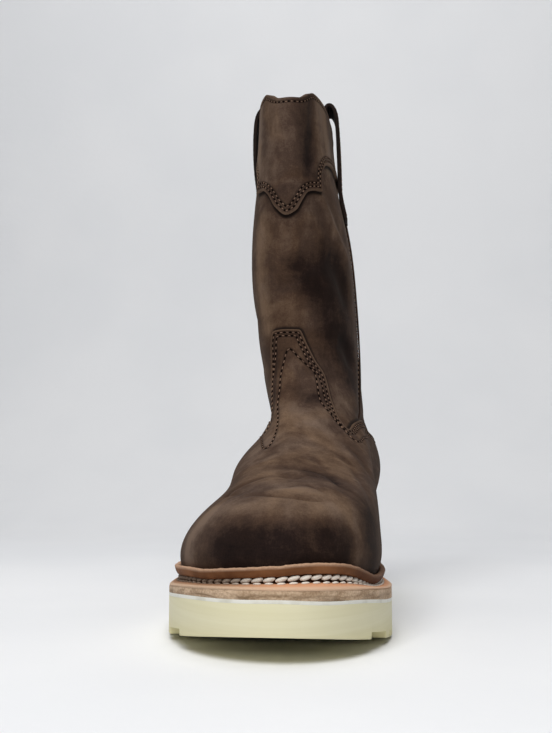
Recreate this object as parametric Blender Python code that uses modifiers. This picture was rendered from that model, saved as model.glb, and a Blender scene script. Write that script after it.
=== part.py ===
"""A right wellington work boot: a hollow pull-on upper on a welted wedge sole.

Sizes are in millimetres and become metres as each mesh is made. X points to the inner side of
the foot, Y from the toe to the heel and Z up, with the tread on the floor at Z = 0.

The upper is one smooth skin. A point on it has a turn, 0 at the front, 0.25 at the inner side,
0.5 at the back and 0.75 at the outer side, and a rise, counted in rows of the section table.
"""
from collections import namedtuple

import bmesh
import bpy
import numpy as np

MM = 0.001
GAP = 0.3

SOLE_LENGTH = 308.0
SOLE_WIDTH = 116.0
TOE_SPRING = 12.3
SPRING_START = 108.0
SPRING_POWER = 1.6
SLIP_SOLE = 1.7
MIDSOLE = 3.2
INSOLE = 3.0

LUG_DEPTH = 3.2
LUG_GROOVE = 4.6
LUG_DRAFT = 0.5
LUG_PITCH = 15.6
LUG_FIRST = 67.2
LUG_COUNT = 14
TOE_PAD = 36.0
TOE_GROOVE = 22.0

WALL = 2.2
OVERLAY = 1.5
FEATHER_INSET = 11.7
INSOLE_INSET = 15.0
BALL_SLANT = 0.04
HEEL_POWER = 2.1
RIM_DIP = 0.09
ANKLE = 5.0

SEAM_WIDTH = 4.0
SEAM_OUT = 0.7
SEAM_RAISED = 1.2
STRAP_WIDTH = 25.0
STRAP = 2.4

TURNS = 44
SEAM_TURNS = {"inner": 12 / TURNS, "outer": 32 / TURNS}
SEAM_GAP = 0.0005

# The wedge's top along the sole: distance behind the toe tip, height above the floor.
WEDGE_TOP = (
    (0, 26.4), (35, 23.2), (65, 20.2), (100, 18.2), (125, 18.6),
    (160, 21.6), (200, 27.8), (240, 34.4), (280, 38.6), (308, 40.0),
)

# A loop round the foot. Its front and back points are given as X, Y behind the toe tip and Z, and
# its sides as X at the ball, waist and heel, outer side first. fore_at and rear_at are the shares
# of its length where the ball and the heel are widest, nose is how square its front is, follow is
# how far it dips with the sole and ears how far its sides stand above its front.
Loop = namedtuple("Loop", (
    "front_x front_y front_z back_x back_y back_z "
    "out_fore out_mid out_rear in_fore in_mid in_rear "
    "fore_at rear_at nose follow ears"
))

SOLE = Loop(8, 0, 0, 11, SOLE_LENGTH, 0, -SOLE_WIDTH / 2, -39, -28, SOLE_WIDTH / 2, 44, 50,
            0.32, 0.84, 2.0, 1, 0)

# The upper's loops from just above the feather edge to the rim.
UPPER_LOOPS = (
    Loop(7.5, 9.3, 44, 11, 300.5, 58, -50.5, -32, -20, 51, 38, 43, 0.32, 0.84, 2.1, 0.95, 0),
    Loop(7, 12, 56, 11, 301.5, 67, -47, -31.5, -21, 51, 40, 45, 0.31, 0.84, 2.1, 0.85, 0),
    Loop(6.5, 22, 66.5, 11, 301.5, 75, -37, -30, -21, 50, 41, 47.5, 0.29, 0.84, 2.1, 0.7, 0),
    Loop(5.5, 45, 74, 11, 301, 83, -28, -28, -20.5, 48.5, 41, 49, 0.27, 0.84, 2.05, 0.5, 0),
    Loop(4, 75, 81, 11, 299.5, 92, -28, -26.5, -20, 46.5, 40.5, 48.5, 0.27, 0.83, 2.0, 0.3, 0),
    Loop(2.5, 105, 92, 11.5, 297, 103, -23, -23, -19, 44, 39.5, 45.5, 0.28, 0.81, 2.0, 0.12, 0),
    Loop(0.5, 131, 108, 12, 294, 116, -14, -18, -18, 40, 37, 41, 0.31, 0.78, 2.0, 0, 0),
    Loop(-1.5, 150, 127.5, 11.5, 292, 131, -18, -21, -19.5, 38, 37, 39, 0.35, 0.74, 2.0, 0, 0),
    Loop(-3, 160, 148, 10, 291.5, 149, -23, -25, -23, 37.5, 37, 37.5, 0.40, 0.68, 2.0, 0, 0),
    Loop(-4, 163, 172, 7, 292, 171, -27.5, -28.5, -26, 36, 36.5, 36, 0.42, 0.64, 2.0, 0, 0),
    Loop(-4, 161, 205, 4, 295, 205, -31, -31.5, -29.5, 34, 34.5, 34, 0.42, 0.60, 2.0, 0, 0),
    Loop(-3, 156.5, 240, 1, 299, 241, -30, -30.5, -29, 29.5, 30, 29.5, 0.42, 0.60, 2.0, 0, 1),
    Loop(-1, 151.5, 275, -1, 302.5, 276, -25.5, -26, -25.5, 21.5, 22, 21.5, 0.42, 0.60, 2.0, 0, 5),
    Loop(0.5, 148, 306, -2, 304, 305.5, -23.5, -24, -23.5, 18.5, 19, 18.5, 0.42, 0.60, 2.0, 0, 7.5),
)
RIM = float(len(UPPER_LOOPS))

# Heights of the overlays' edges round the upper: turn, height above the floor.
VAMP_EDGE = (
    (0.0, 167), (0.028, 166.8), (0.044, 157), (0.058, 147.5), (0.075, 139), (0.088, 121),
    (0.098, 111), (0.114, 105.2), (0.136, 109.5), (0.17, 112), (0.25, 112.5), (0.297, 111),
    (0.331, 106.5), (0.40, 103), (0.50, 102), (0.60, 103), (0.669, 106.5), (0.703, 111),
    (0.75, 112.5), (0.83, 112), (0.864, 109.5), (0.882, 105.2), (0.896, 110), (0.908, 117),
    (0.922, 128), (0.934, 148), (0.94, 159), (0.953, 166), (0.972, 166.8), (1.0, 167),
)
COLLAR_EDGE = (
    (0.0, 236.2), (0.025, 239), (0.044, 246.2), (0.058, 250.5), (0.08, 252.5), (0.1, 252.8),
    (0.112, 265), (0.142, 273), (0.19, 276), (0.265, 277), (0.34, 276), (0.388, 273), (0.418, 265),
    (0.43, 252.8), (0.45, 252.5), (0.472, 250), (0.5, 238), (0.528, 250), (0.55, 252.5), (0.57, 252.8),
    (0.582, 265), (0.612, 273), (0.66, 276), (0.735, 277), (0.8, 276), (0.84, 273), (0.868, 265),
    (0.88, 254.5), (0.911, 253.8), (0.936, 250.3), (0.967, 241.2), (1.0, 236.2),
)

WELT_FLANGE = 0.9
WELT_LIP = 6.6

# The welt's section: height above the midsole, distance out from the vamp's face.
WELT_SECTION = (
    (0.3, 0.5), (0.3, 9.4), (WELT_FLANGE, 9.4), (2.8, 4.2), (3.2, 2.4), (WELT_LIP, 2.2), (7.2, 3.8),
    (10.2, 4.4), (11.0, 2.6), (10.6, 0.5), (7.2, 0.5), (3.6, 0.5),
)

# How far the welt's lip stands above or below its section round the boot: turn, millimetres.
LIP_WAVE = (
    (0.0, -0.6), (0.02, 0.4), (0.045, 1.0), (0.07, 0.8), (0.09, -0.2), (0.11, -1.8), (0.135, -3.2),
    (0.17, -2.0), (0.22, -0.4), (0.3, 0.0), (0.7, 0.0), (0.8, -0.3), (0.86, -0.9), (0.9, -1.6),
    (0.925, -2.4), (0.95, -1.9), (0.98, -1.2), (1.0, -0.6),
)

# A pull strap's run from its sewn outer end over the rim to its inner end: height, distance out.
STRAP_RUN = (
    (250, 1.6), (262, 1.8), (272, 2.8), (282, 4.3), (294, 5.4), (308, 5.7), (319, 5.2),
    (326, 3.4), (328.8, 0.6), (327, -2.2), (320, -3.8), (310, -3.9), (298, -3.8), (286, -3.8),
)


def spline(knots, values, at):
    """A natural cubic spline through rows of values, with a column for each thing it carries."""
    knots = np.asarray(knots, float)
    values = np.asarray(values, float)
    step = np.diff(knots)
    slope = np.diff(values, axis=0) / step.reshape(-1, *[1] * (values.ndim - 1))
    count = len(knots)
    matrix = np.eye(count)
    right = np.zeros_like(values)
    for i in range(1, count - 1):
        matrix[i, i - 1:i + 2] = step[i - 1], 2 * (step[i - 1] + step[i]), step[i]
        right[i] = 6 * (slope[i] - slope[i - 1])
    bend = np.linalg.solve(matrix, right)
    at = np.asarray(at, float)
    low = np.clip(np.searchsorted(knots, at, side="right") - 1, 0, count - 2)
    shape = at.shape + (1,) * (values.ndim - 1)
    width = step[low].reshape(shape)
    after = (at - knots[low]).reshape(shape)
    before = width - after
    return (
        (bend[low] * before ** 3 + bend[low + 1] * after ** 3) / (6 * width)
        + (values[low] / width - bend[low] * width / 6) * before
        + (values[low + 1] / width - bend[low + 1] * width / 6) * after
    )


def steady(table, at):
    """A smooth curve through a table that never runs past its own values."""
    knots, values = np.array(table, float).T
    slope = np.diff(values) / np.diff(knots)
    pair = slope[:-1] * slope[1:]
    mean = np.where(pair > 0, 2 * pair / np.where(pair > 0, slope[:-1] + slope[1:], 1), 0)
    lean = np.concatenate(([0], mean, [0]))
    low = np.clip(np.searchsorted(knots, at, side="right") - 1, 0, len(knots) - 2)
    width = knots[low + 1] - knots[low]
    s = (at - knots[low]) / width
    return (
        values[low] * (1 + 2 * s) * (1 - s) ** 2 + values[low + 1] * s * s * (3 - 2 * s)
        + width * (lean[low] * s * (1 - s) ** 2 - lean[low + 1] * s * s * (1 - s))
    )


def wedge_top(behind):
    """The wedge's top, under the slip sole."""
    return spline(*zip(*WEDGE_TOP), behind)


def tread(behind):
    """The tread's height, lifted towards the toe."""
    lift = np.clip((SPRING_START - behind) / SPRING_START, 0, 1)
    return TOE_SPRING * lift ** SPRING_POWER


def bed(behind):
    """The midsole's top, where the upper stands."""
    return wedge_top(behind) + GAP + SLIP_SOLE + GAP + MIDSOLE


def moved_in(loop, inset):
    """A loop with its front, back and sides moved in by one distance."""
    return loop._replace(
        front_y=loop.front_y + inset, back_y=loop.back_y - inset,
        out_fore=loop.out_fore + inset, out_mid=loop.out_mid + inset, out_rear=loop.out_rear + inset,
        in_fore=loop.in_fore - inset, in_mid=loop.in_mid - inset, in_rear=loop.in_rear - inset,
    )


def feather_loop():
    """The upper's lowest loop, on the midsole."""
    loop = moved_in(SOLE, FEATHER_INSET)
    return loop._replace(front_z=bed(loop.front_y) + GAP, back_z=bed(loop.back_y) + GAP)


UPPER_TABLE = np.array((feather_loop(),) + UPPER_LOOPS, float)


def round_end(share, power):
    """How far a rounded end has opened: 0 at its tip, 1 at its full width."""
    return (1 - (1 - np.clip(share, 0, 1)) ** power) ** (1 / power)


def ease(start, end, share):
    """A step from one value to another that starts and ends level."""
    share = np.clip(share, 0, 1)
    return start + (end - start) * share * share * (3 - 2 * share)


def side_x(loop, share, inner):
    """X of a loop's side at a share of the way from its front to its back."""
    fore = np.where(inner, loop.in_fore, loop.out_fore)
    mid = np.where(inner, loop.in_mid, loop.out_mid)
    rear = np.where(inner, loop.in_rear, loop.out_rear)
    fore_at = loop.fore_at + np.where(inner, -BALL_SLANT, BALL_SLANT) * loop.follow
    mid_at = (fore_at + loop.rear_at) / 2
    nose = loop.front_x + (fore - loop.front_x) * round_end(share / fore_at, loop.nose)
    heel = loop.back_x + (rear - loop.back_x) * round_end((1 - share) / (1 - loop.rear_at), HEEL_POWER)
    flank = np.where(
        share < mid_at,
        ease(fore, mid, (share - fore_at) / (mid_at - fore_at)),
        ease(mid, rear, (share - mid_at) / (loop.rear_at - mid_at)),
    )
    return np.where(share < fore_at, nose, np.where(share > loop.rear_at, heel, flank))


def skin_base(turn, rise):
    """Points on the upper's outside, before any offset."""
    turn, rise = np.broadcast_arrays(turn, rise)
    columns = spline(np.arange(len(UPPER_TABLE)), UPPER_TABLE, np.clip(rise, 0, RIM))
    loop = Loop(*np.moveaxis(columns, -1, 0))
    share = (1 - np.cos(2 * np.pi * turn)) / 2
    x = side_x(loop, share, turn % 1 < 0.5)
    y = loop.front_y + (loop.back_y - loop.front_y) * share
    level = loop.front_z + (loop.back_z - loop.front_z) * share
    straight = bed(loop.front_y) + (bed(loop.back_y) - bed(loop.front_y)) * share
    ears = loop.ears * ease(0, 1, share * (1 - share) / RIM_DIP)
    z = level + loop.follow * (bed(y) - straight) + ears
    return np.stack((x, y - SOLE_LENGTH / 2, z), axis=-1)


def skin(turn, rise, out=0.0):
    """Points on the upper's outside, moved out along its normal."""
    step = 0.002
    along = skin_base(turn + step, rise) - skin_base(turn - step, rise)
    up = skin_base(turn, np.minimum(rise + 0.02, RIM)) - skin_base(turn, np.maximum(rise - 0.02, 0))
    normal = np.cross(along, up)
    normal /= np.linalg.norm(normal, axis=-1, keepdims=True)
    return skin_base(turn, rise) + normal * np.asarray(out)[..., None]


def rise_at(turn, height):
    """The rise at which the upper reaches a height, for each turn."""
    rises = np.linspace(0, RIM, 281)
    found = [
        np.interp(h, skin_base(t, rises)[:, 2], rises)
        for t, h in zip(np.ravel(turn), np.ravel(height))
    ]
    return np.reshape(found, np.shape(turn))


def edge_rise(edge, turn):
    """The rise of an overlay's edge at each turn."""
    around, back = np.unique(np.ravel(turn) % 1, return_inverse=True)
    return rise_at(around, steady(edge, around))[back].reshape(np.shape(turn))


def level_rise(turn, level):
    """Levels 0 to 4 are the feather edge, ankle, vamp's edge, collar's edge and rim."""
    stops = (0.0, ANKLE, edge_rise(VAMP_EDGE, turn), edge_rise(COLLAR_EDGE, turn), RIM)
    rise = np.zeros_like(turn)
    for i in range(4):
        rise = rise + (stops[i + 1] - stops[i]) * np.clip(level - i, 0, 1)
    return rise


def new_object(name, bm, material):
    """A named piece of the boot from a finished bmesh."""
    mesh = bpy.data.meshes.new(name)
    bm.to_mesh(mesh)
    bm.free()
    mesh.materials.append(material)
    piece = bpy.data.objects.new(name, mesh)
    boot.objects.link(piece)
    return piece


def paint(name, colour, roughness):
    """A plain Principled material in a linear colour."""
    material = bpy.data.materials.new(name)
    material.use_nodes = True
    shader = material.node_tree.nodes["Principled BSDF"]
    shader.inputs["Base Color"].default_value = (*colour, 1)
    shader.inputs["Roughness"].default_value = roughness
    shader.inputs["Metallic"].default_value = 0
    return material


def grid(columns, rows, place):
    """A bmesh grid whose corners are put where place(column, row) says, in millimetres."""
    bm = bmesh.new()
    bmesh.ops.create_grid(bm, x_segments=len(columns) - 1, y_segments=len(rows) - 1, size=0.5)
    flat = np.array([vert.co for vert in bm.verts]) + 0.5
    column = np.interp(flat[:, 0] * (len(columns) - 1), np.arange(len(columns)), columns)
    row = np.interp(flat[:, 1] * (len(rows) - 1), np.arange(len(rows)), rows)
    for vert, point in zip(bm.verts, place(column, row)):
        vert.co = point * MM
    return bm


def sole_layer(name, material, inset, distances, low, high):
    """A layer of the sole between two heights that change only along its length."""
    loop = moved_in(SOLE, inset)
    length = loop.back_y - loop.front_y

    def place(behind, side, height):
        x = side_x(loop, (behind - loop.front_y) / length, side > 0)
        return np.stack((x, behind - SOLE_LENGTH / 2, height(behind)), axis=-1)

    bm = grid(distances, (-1, 1), lambda behind, side: place(behind, side, low))
    upper_side = bmesh.ops.extrude_face_region(bm, geom=bm.faces[:], use_keep_orig=True)["geom"]
    for vert in upper_side:
        if isinstance(vert, bmesh.types.BMVert):
            vert.co.z = high(vert.co.y / MM + SOLE_LENGTH / 2) * MM
    bmesh.ops.recalc_face_normals(bm, faces=bm.faces[:])
    return new_object(name, bm, material)


def thicken(piece, thickness, side):
    """Solidify a skin: side -1 goes inwards, 1 outwards and 0 both ways."""
    shell = piece.modifiers.new("thickness", "SOLIDIFY")
    shell.thickness = thickness * MM
    shell.offset = side
    shell.use_even_offset = True
    return piece


def skin_piece(name, material, turns, levels, out, thickness, side):
    """A piece cut from the upper's own skin, at a distance out from it."""
    bm = grid(turns, levels, lambda turn, level: skin(turn, level_rise(turn, level), out))
    if turns[-1] - turns[0] == 1:
        bmesh.ops.remove_doubles(bm, verts=bm.verts[:], dist=0.0001)
    return thicken(new_object(name, bm, material), thickness, side)


def spread(start, end, count):
    """Distances that crowd together towards both round ends of the sole."""
    swing = np.linspace(0.07, np.pi - 0.07, count)
    return start + (end - start) * (1 - np.cos(swing)) / 2


def grooves():
    """Where the tread's grooves start and end: a wide one behind the toe pad, then even ones."""
    starts = np.append(TOE_PAD, LUG_FIRST + LUG_PITCH * np.arange(LUG_COUNT))
    widths = np.append(TOE_GROOVE, np.full(LUG_COUNT, LUG_GROOVE))
    return starts, starts + widths


def lug_distances():
    """Distances along the outsole: its outline and the four corners of each groove."""
    starts, ends = grooves()
    corners = np.concatenate((starts, starts + LUG_DRAFT, ends - LUG_DRAFT, ends))
    outline = spread(0, SOLE_LENGTH, 40)
    clear = np.abs(outline[:, None] - corners).min(1) > 2
    return np.sort(np.concatenate((outline[clear], corners)))


def lugs(behind):
    """The tread with its grooves cut up into it."""
    starts, ends = grooves()
    inside = np.minimum(behind[:, None] - starts, ends - behind[:, None]).max(1)
    return tread(behind) + LUG_DEPTH * np.clip(inside / LUG_DRAFT, 0, 1)


def beside_vamp(turn, height, out):
    """Points beside the vamp's face at a height on the welt's section, moved straight out."""
    lifted = np.clip((height - WELT_FLANGE) / (WELT_LIP - WELT_FLANGE), 0, 1)
    height = height + steady(LIP_WAVE, turn % 1) * lifted
    foot = skin_base(turn, np.zeros_like(turn))
    rise = rise_at(turn, foot[:, 2] - GAP + height)
    face = skin_base(turn, rise)
    run = skin_base(turn + 0.002, rise) - skin_base(turn - 0.002, rise)
    sideways = np.stack((run[:, 1], -run[:, 0], np.zeros_like(turn)), axis=-1)
    sideways /= np.linalg.norm(sideways, axis=-1, keepdims=True)
    point = face + sideways * (GAP + OVERLAY + out)[:, None]
    point[:, 2] = bed(point[:, 1] + SOLE_LENGTH / 2) + height
    return point


def welt_piece(name, material):
    """The welt's section carried round the feather edge."""
    heights, outs = np.array(WELT_SECTION + WELT_SECTION[:1]).T
    corners = np.arange(len(heights))

    def place(turn, corner):
        return beside_vamp(
            turn, np.interp(corner, corners, heights), np.interp(corner, corners, outs))

    bm = grid(np.linspace(0, 1, TURNS + 1), corners, place)
    bmesh.ops.remove_doubles(bm, verts=bm.verts[:], dist=0.0001)
    bmesh.ops.recalc_face_normals(bm, faces=bm.faces[:])
    return new_object(name, bm, material)


def turn_width(turn, height, width):
    """The share of a turn that a width covers at a height on the shaft."""
    rise = rise_at(np.array([turn]), np.array([height]))[0]
    ends = skin_base(np.array([turn - 0.01, turn + 0.01]), np.array([rise, rise]))
    return 0.02 * width / np.linalg.norm(ends[1] - ends[0])


def side_seam(name, material, side):
    """A raised seam from the vamp's edge up to the end of the pull strap."""
    centre = SEAM_TURNS[side]
    half = turn_width(centre, 190, SEAM_WIDTH) / 2
    heights = np.linspace(steady(VAMP_EDGE, centre) + 1.5, STRAP_RUN[0][0] - 1.5, 12)

    def place(turn, height):
        return skin(turn, rise_at(turn, height), SEAM_OUT)

    bm = grid((centre - half, centre, centre + half), heights, place)
    return thicken(new_object(name, bm, material), SEAM_RAISED, 1)


def pull_strap(name, material, side):
    """A flat strap sewn on outside, carried over the rim and down inside."""
    centre = SEAM_TURNS[side]
    half = turn_width(centre, 290, STRAP_WIDTH) / 2
    run = np.array(STRAP_RUN)
    steps = np.linspace(0, len(run) - 1, 28)

    def place(turn, step):
        height, out = spline(np.arange(len(run)), run, step).T
        rim = skin_base(turn, np.full_like(turn, RIM))[:, 2]
        point = skin(turn, rise_at(turn, np.minimum(height, rim)), out)
        point[:, 2] = np.maximum(point[:, 2], height)
        return point

    bm = grid((centre - half, centre, centre + half), steps, place)
    return thicken(new_object(name, bm, material), STRAP, 0)


for item in list(bpy.data.objects):
    bpy.data.objects.remove(item)

boot = bpy.data.collections.new("wellington_work_boot")
bpy.context.scene.collection.children.link(boot)

distances = spread(0, SOLE_LENGTH, 40)
sole_layer("outsole", paint("outsole_rubber", (0.66, 0.62, 0.42), 0.6), 0,
           lug_distances(), lugs, wedge_top)
sole_layer("slip_sole", paint("slip_sole_rubber", (0.74, 0.73, 0.65), 0.6), 0, distances,
           lambda behind: wedge_top(behind) + GAP,
           lambda behind: wedge_top(behind) + GAP + SLIP_SOLE)
sole_layer("midsole", paint("midsole_leather", (0.55, 0.36, 0.22), 0.8), 0, distances,
           lambda behind: bed(behind) - MIDSOLE, bed)
sole_layer("insole", paint("insole_leather", (0.50, 0.36, 0.24), 0.8), INSOLE_INSET,
           spread(INSOLE_INSET, SOLE_LENGTH - INSOLE_INSET, 40),
           lambda behind: bed(behind) + GAP, lambda behind: bed(behind) + INSOLE)
welt_piece("welt", paint("welt_leather", (0.30, 0.13, 0.06), 0.7))

nubuck = (0.085, 0.055, 0.04)
around = np.linspace(0, 1, TURNS + 1)
foot_rises = np.array((0, 0.24, 0.5, 0.8, 1.2, 1.65, 2.1, 2.6, 3.2, 4.0))
foot_levels = np.concatenate((foot_rises / ANKLE, np.linspace(1, 2, 5)))
shaft_levels = np.linspace(2, 3, 7)[1:]
collar_levels = np.linspace(3, 4, 6)
upper_levels = np.concatenate((foot_levels, shaft_levels, collar_levels[1:]))
skin_piece("upper", paint("upper_nubuck", nubuck, 0.85), around, upper_levels, 0, WALL, -1)
vamp_turns = np.arange(-12, 13) / TURNS
counter_turns = np.arange(12, 33) / TURNS
for turns in (vamp_turns, counter_turns):
    turns[0] += SEAM_GAP
    turns[-1] -= SEAM_GAP
skin_piece("vamp", paint("vamp_nubuck", nubuck, 0.85), vamp_turns, foot_levels[1:], GAP, OVERLAY, 1)
skin_piece("counter", paint("counter_nubuck", nubuck, 0.85), counter_turns, foot_levels[1:],
           GAP, OVERLAY, 1)
skin_piece("collar", paint("collar_nubuck", nubuck, 0.85), around, collar_levels, GAP, OVERLAY, 1)
for side in SEAM_TURNS:
    side_seam("side_seam_" + side, paint("side_seam_" + side + "_nubuck", nubuck, 0.85), side)
    pull_strap("pull_strap_" + side, paint("pull_strap_" + side + "_leather", nubuck, 0.75), side)
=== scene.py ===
# %% [markdown]
# # A pull-on work boot
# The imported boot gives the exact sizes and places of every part. This lesson dresses it: the plain
# solids are swapped for leather panels with creases, cut edges and stitches, a welt with its braid,
# and a cream wedge sole. Each step first says what the real piece is, then how it is made here.

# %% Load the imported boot
import math
from collections import namedtuple

import bmesh
import bpy
import numpy as np
from mathutils import Matrix, Vector
from mathutils.kdtree import KDTree


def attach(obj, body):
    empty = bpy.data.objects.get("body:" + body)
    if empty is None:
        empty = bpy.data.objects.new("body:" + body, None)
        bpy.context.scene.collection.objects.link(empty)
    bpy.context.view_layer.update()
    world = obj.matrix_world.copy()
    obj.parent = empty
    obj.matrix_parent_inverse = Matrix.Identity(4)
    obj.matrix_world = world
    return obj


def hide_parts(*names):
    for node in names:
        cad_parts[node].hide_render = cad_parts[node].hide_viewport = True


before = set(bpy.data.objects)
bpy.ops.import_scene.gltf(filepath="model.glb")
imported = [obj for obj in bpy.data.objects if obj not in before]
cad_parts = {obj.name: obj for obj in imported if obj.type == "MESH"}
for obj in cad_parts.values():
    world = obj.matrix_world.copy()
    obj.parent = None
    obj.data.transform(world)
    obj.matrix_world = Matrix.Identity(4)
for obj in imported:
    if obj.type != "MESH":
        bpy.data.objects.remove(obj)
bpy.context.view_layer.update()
MM = 0.001
print("nodes:", ", ".join(sorted(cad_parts)))

# %% [markdown]
# ## The last
# A shoemaker builds a boot round a last, so every leather panel shares one form. Here the last is a
# function: a point on it has a turn (0 front, 0.25 inner side, 0.5 back, 0.75 outer side) and a rise,
# counted in loops from the feather edge, where the upper meets the sole, to the rim. A mesh could be
# sculpted instead, but a function lets each panel, stitch and crease lie exactly on the same surface.

# %% Sizes of the sole and the upper, in millimetres
GAP = 0.3
SOLE_LENGTH = 308.0
SOLE_WIDTH = 116.0
SLIP_SOLE = 1.7
MIDSOLE = 3.2
WALL = 2.2
OVERLAY = 1.5
FEATHER_INSET = 11.7
BALL_SLANT = 0.04
HEEL_POWER = 2.1
RIM_DIP = 0.09
SEAM_TURNS = {"inner": 12 / 44, "outer": 32 / 44}

# The wedge's top: distance behind the toe tip, height above the floor.
WEDGE_TOP = (
    (0, 26.4), (35, 23.2), (65, 20.2), (100, 18.2), (125, 18.6),
    (160, 21.6), (200, 27.8), (240, 34.4), (280, 38.6), (308, 40.0),
)

# %% Loops round the foot
# Front and back points as X, Y behind the toe tip and Z, then X of the sides at ball, waist and heel.
Loop = namedtuple("Loop", (
    "front_x front_y front_z back_x back_y back_z "
    "out_fore out_mid out_rear in_fore in_mid in_rear "
    "fore_at rear_at nose follow ears"
))
SOLE = Loop(8, 0, 0, 11, SOLE_LENGTH, 0, -SOLE_WIDTH / 2, -39, -28, SOLE_WIDTH / 2, 44, 50,
            0.32, 0.84, 2.0, 1, 0)
UPPER_LOOPS = (
    Loop(7.5, 9.3, 44, 11, 300.5, 58, -50.5, -32, -20, 51, 38, 43, 0.32, 0.84, 2.1, 0.95, 0),
    Loop(7, 12, 56, 11, 301.5, 67, -47, -31.5, -21, 51, 40, 45, 0.31, 0.84, 2.1, 0.85, 0),
    Loop(6.5, 22, 66.5, 11, 301.5, 75, -37, -30, -21, 50, 41, 47.5, 0.29, 0.84, 2.1, 0.7, 0),
    Loop(5.5, 45, 74, 11, 301, 83, -28, -28, -20.5, 48.5, 41, 49, 0.27, 0.84, 2.05, 0.5, 0),
    Loop(4, 75, 81, 11, 299.5, 92, -28, -26.5, -20, 46.5, 40.5, 48.5, 0.27, 0.83, 2.0, 0.3, 0),
    Loop(2.5, 105, 92, 11.5, 297, 103, -23, -23, -19, 44, 39.5, 45.5, 0.28, 0.81, 2.0, 0.12, 0),
    Loop(0.5, 131, 108, 12, 294, 116, -14, -18, -18, 40, 37, 41, 0.31, 0.78, 2.0, 0, 0),
    Loop(-1.5, 150, 127.5, 11.5, 292, 131, -18, -21, -19.5, 38, 37, 39, 0.35, 0.74, 2.0, 0, 0),
    Loop(-3, 160, 148, 10, 291.5, 149, -23, -25, -23, 37.5, 37, 37.5, 0.40, 0.68, 2.0, 0, 0),
    Loop(-4, 163, 172, 7, 292, 171, -27.5, -28.5, -26, 36, 36.5, 36, 0.42, 0.64, 2.0, 0, 0),
    Loop(-4, 161, 205, 4, 295, 205, -31, -31.5, -29.5, 34, 34.5, 34, 0.42, 0.60, 2.0, 0, 0),
    Loop(-3, 156.5, 240, 1, 299, 241, -30, -30.5, -29, 29.5, 30, 29.5, 0.42, 0.60, 2.0, 0, 1),
    Loop(-1, 151.5, 275, -1, 302.5, 276, -25.5, -26, -25.5, 21.5, 22, 21.5, 0.42, 0.60, 2.0, 0, 5),
    Loop(0.5, 148, 306, -2, 304, 305.5, -23.5, -24, -23.5, 18.5, 19, 18.5, 0.42, 0.60, 2.0, 0, 7.5),
)
RIM = float(len(UPPER_LOOPS))
print("loops from the feather edge to the rim:", len(UPPER_LOOPS) + 1)


# %% Two kinds of smooth curve
def spline(knots, values, at):
    """A natural cubic spline through rows of values."""
    knots = np.asarray(knots, float)
    values = np.asarray(values, float)
    step = np.diff(knots)
    slope = np.diff(values, axis=0) / step.reshape(-1, *[1] * (values.ndim - 1))
    count = len(knots)
    matrix = np.eye(count)
    right = np.zeros_like(values)
    for i in range(1, count - 1):
        matrix[i, i - 1:i + 2] = step[i - 1], 2 * (step[i - 1] + step[i]), step[i]
        right[i] = 6 * (slope[i] - slope[i - 1])
    bend = np.linalg.solve(matrix, right)
    at = np.asarray(at, float)
    low = np.clip(np.searchsorted(knots, at, side="right") - 1, 0, count - 2)
    shape = at.shape + (1,) * (values.ndim - 1)
    width = step[low].reshape(shape)
    after = (at - knots[low]).reshape(shape)
    before = width - after
    return (
        (bend[low] * before ** 3 + bend[low + 1] * after ** 3) / (6 * width)
        + (values[low] / width - bend[low] * width / 6) * before
        + (values[low + 1] / width - bend[low + 1] * width / 6) * after
    )


def steady(table, at):
    """A smooth curve through a table that never runs past its own values."""
    knots, values = np.array(table, float).T
    slope = np.diff(values) / np.diff(knots)
    pair = slope[:-1] * slope[1:]
    mean = np.where(pair > 0, 2 * pair / np.where(pair > 0, slope[:-1] + slope[1:], 1), 0)
    lean = np.concatenate(([0], mean, [0]))
    low = np.clip(np.searchsorted(knots, at, side="right") - 1, 0, len(knots) - 2)
    width = knots[low + 1] - knots[low]
    after = (at - knots[low]) / width
    before = 1 - after
    return (
        values[low] * (1 + 2 * after) * before ** 2 + values[low + 1] * after ** 2 * (3 - 2 * after)
        + width * (lean[low] * after * before ** 2 - lean[low + 1] * after ** 2 * before)
    )


# %% Heights along the sole
def wedge_top(behind):
    return spline(*zip(*WEDGE_TOP), behind)


def bed(behind):
    """The midsole's top, where the upper stands."""
    return wedge_top(behind) + GAP + SLIP_SOLE + GAP + MIDSOLE


def moved_in(loop, inset):
    """A loop with its front, back and sides moved in by one distance."""
    return loop._replace(
        front_y=loop.front_y + inset, back_y=loop.back_y - inset,
        out_fore=loop.out_fore + inset, out_mid=loop.out_mid + inset, out_rear=loop.out_rear + inset,
        in_fore=loop.in_fore - inset, in_mid=loop.in_mid - inset, in_rear=loop.in_rear - inset,
    )


feather = moved_in(SOLE, FEATHER_INSET)
feather = feather._replace(front_z=bed(feather.front_y) + GAP, back_z=bed(feather.back_y) + GAP)
UPPER_TABLE = np.array((feather,) + UPPER_LOOPS, float)
print("midsole top at toe and heel:", round(float(bed(0)), 1), round(float(bed(SOLE_LENGTH)), 1))


# %% The last as a function of turn and rise
def round_end(share, power):
    """How far a rounded end has opened: 0 at its tip, 1 at its full width."""
    return (1 - (1 - np.clip(share, 0, 1)) ** power) ** (1 / power)


def ease(start, end, share):
    """A step from one value to another that starts and ends level."""
    share = np.clip(share, 0, 1)
    return start + (end - start) * share * share * (3 - 2 * share)


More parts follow.
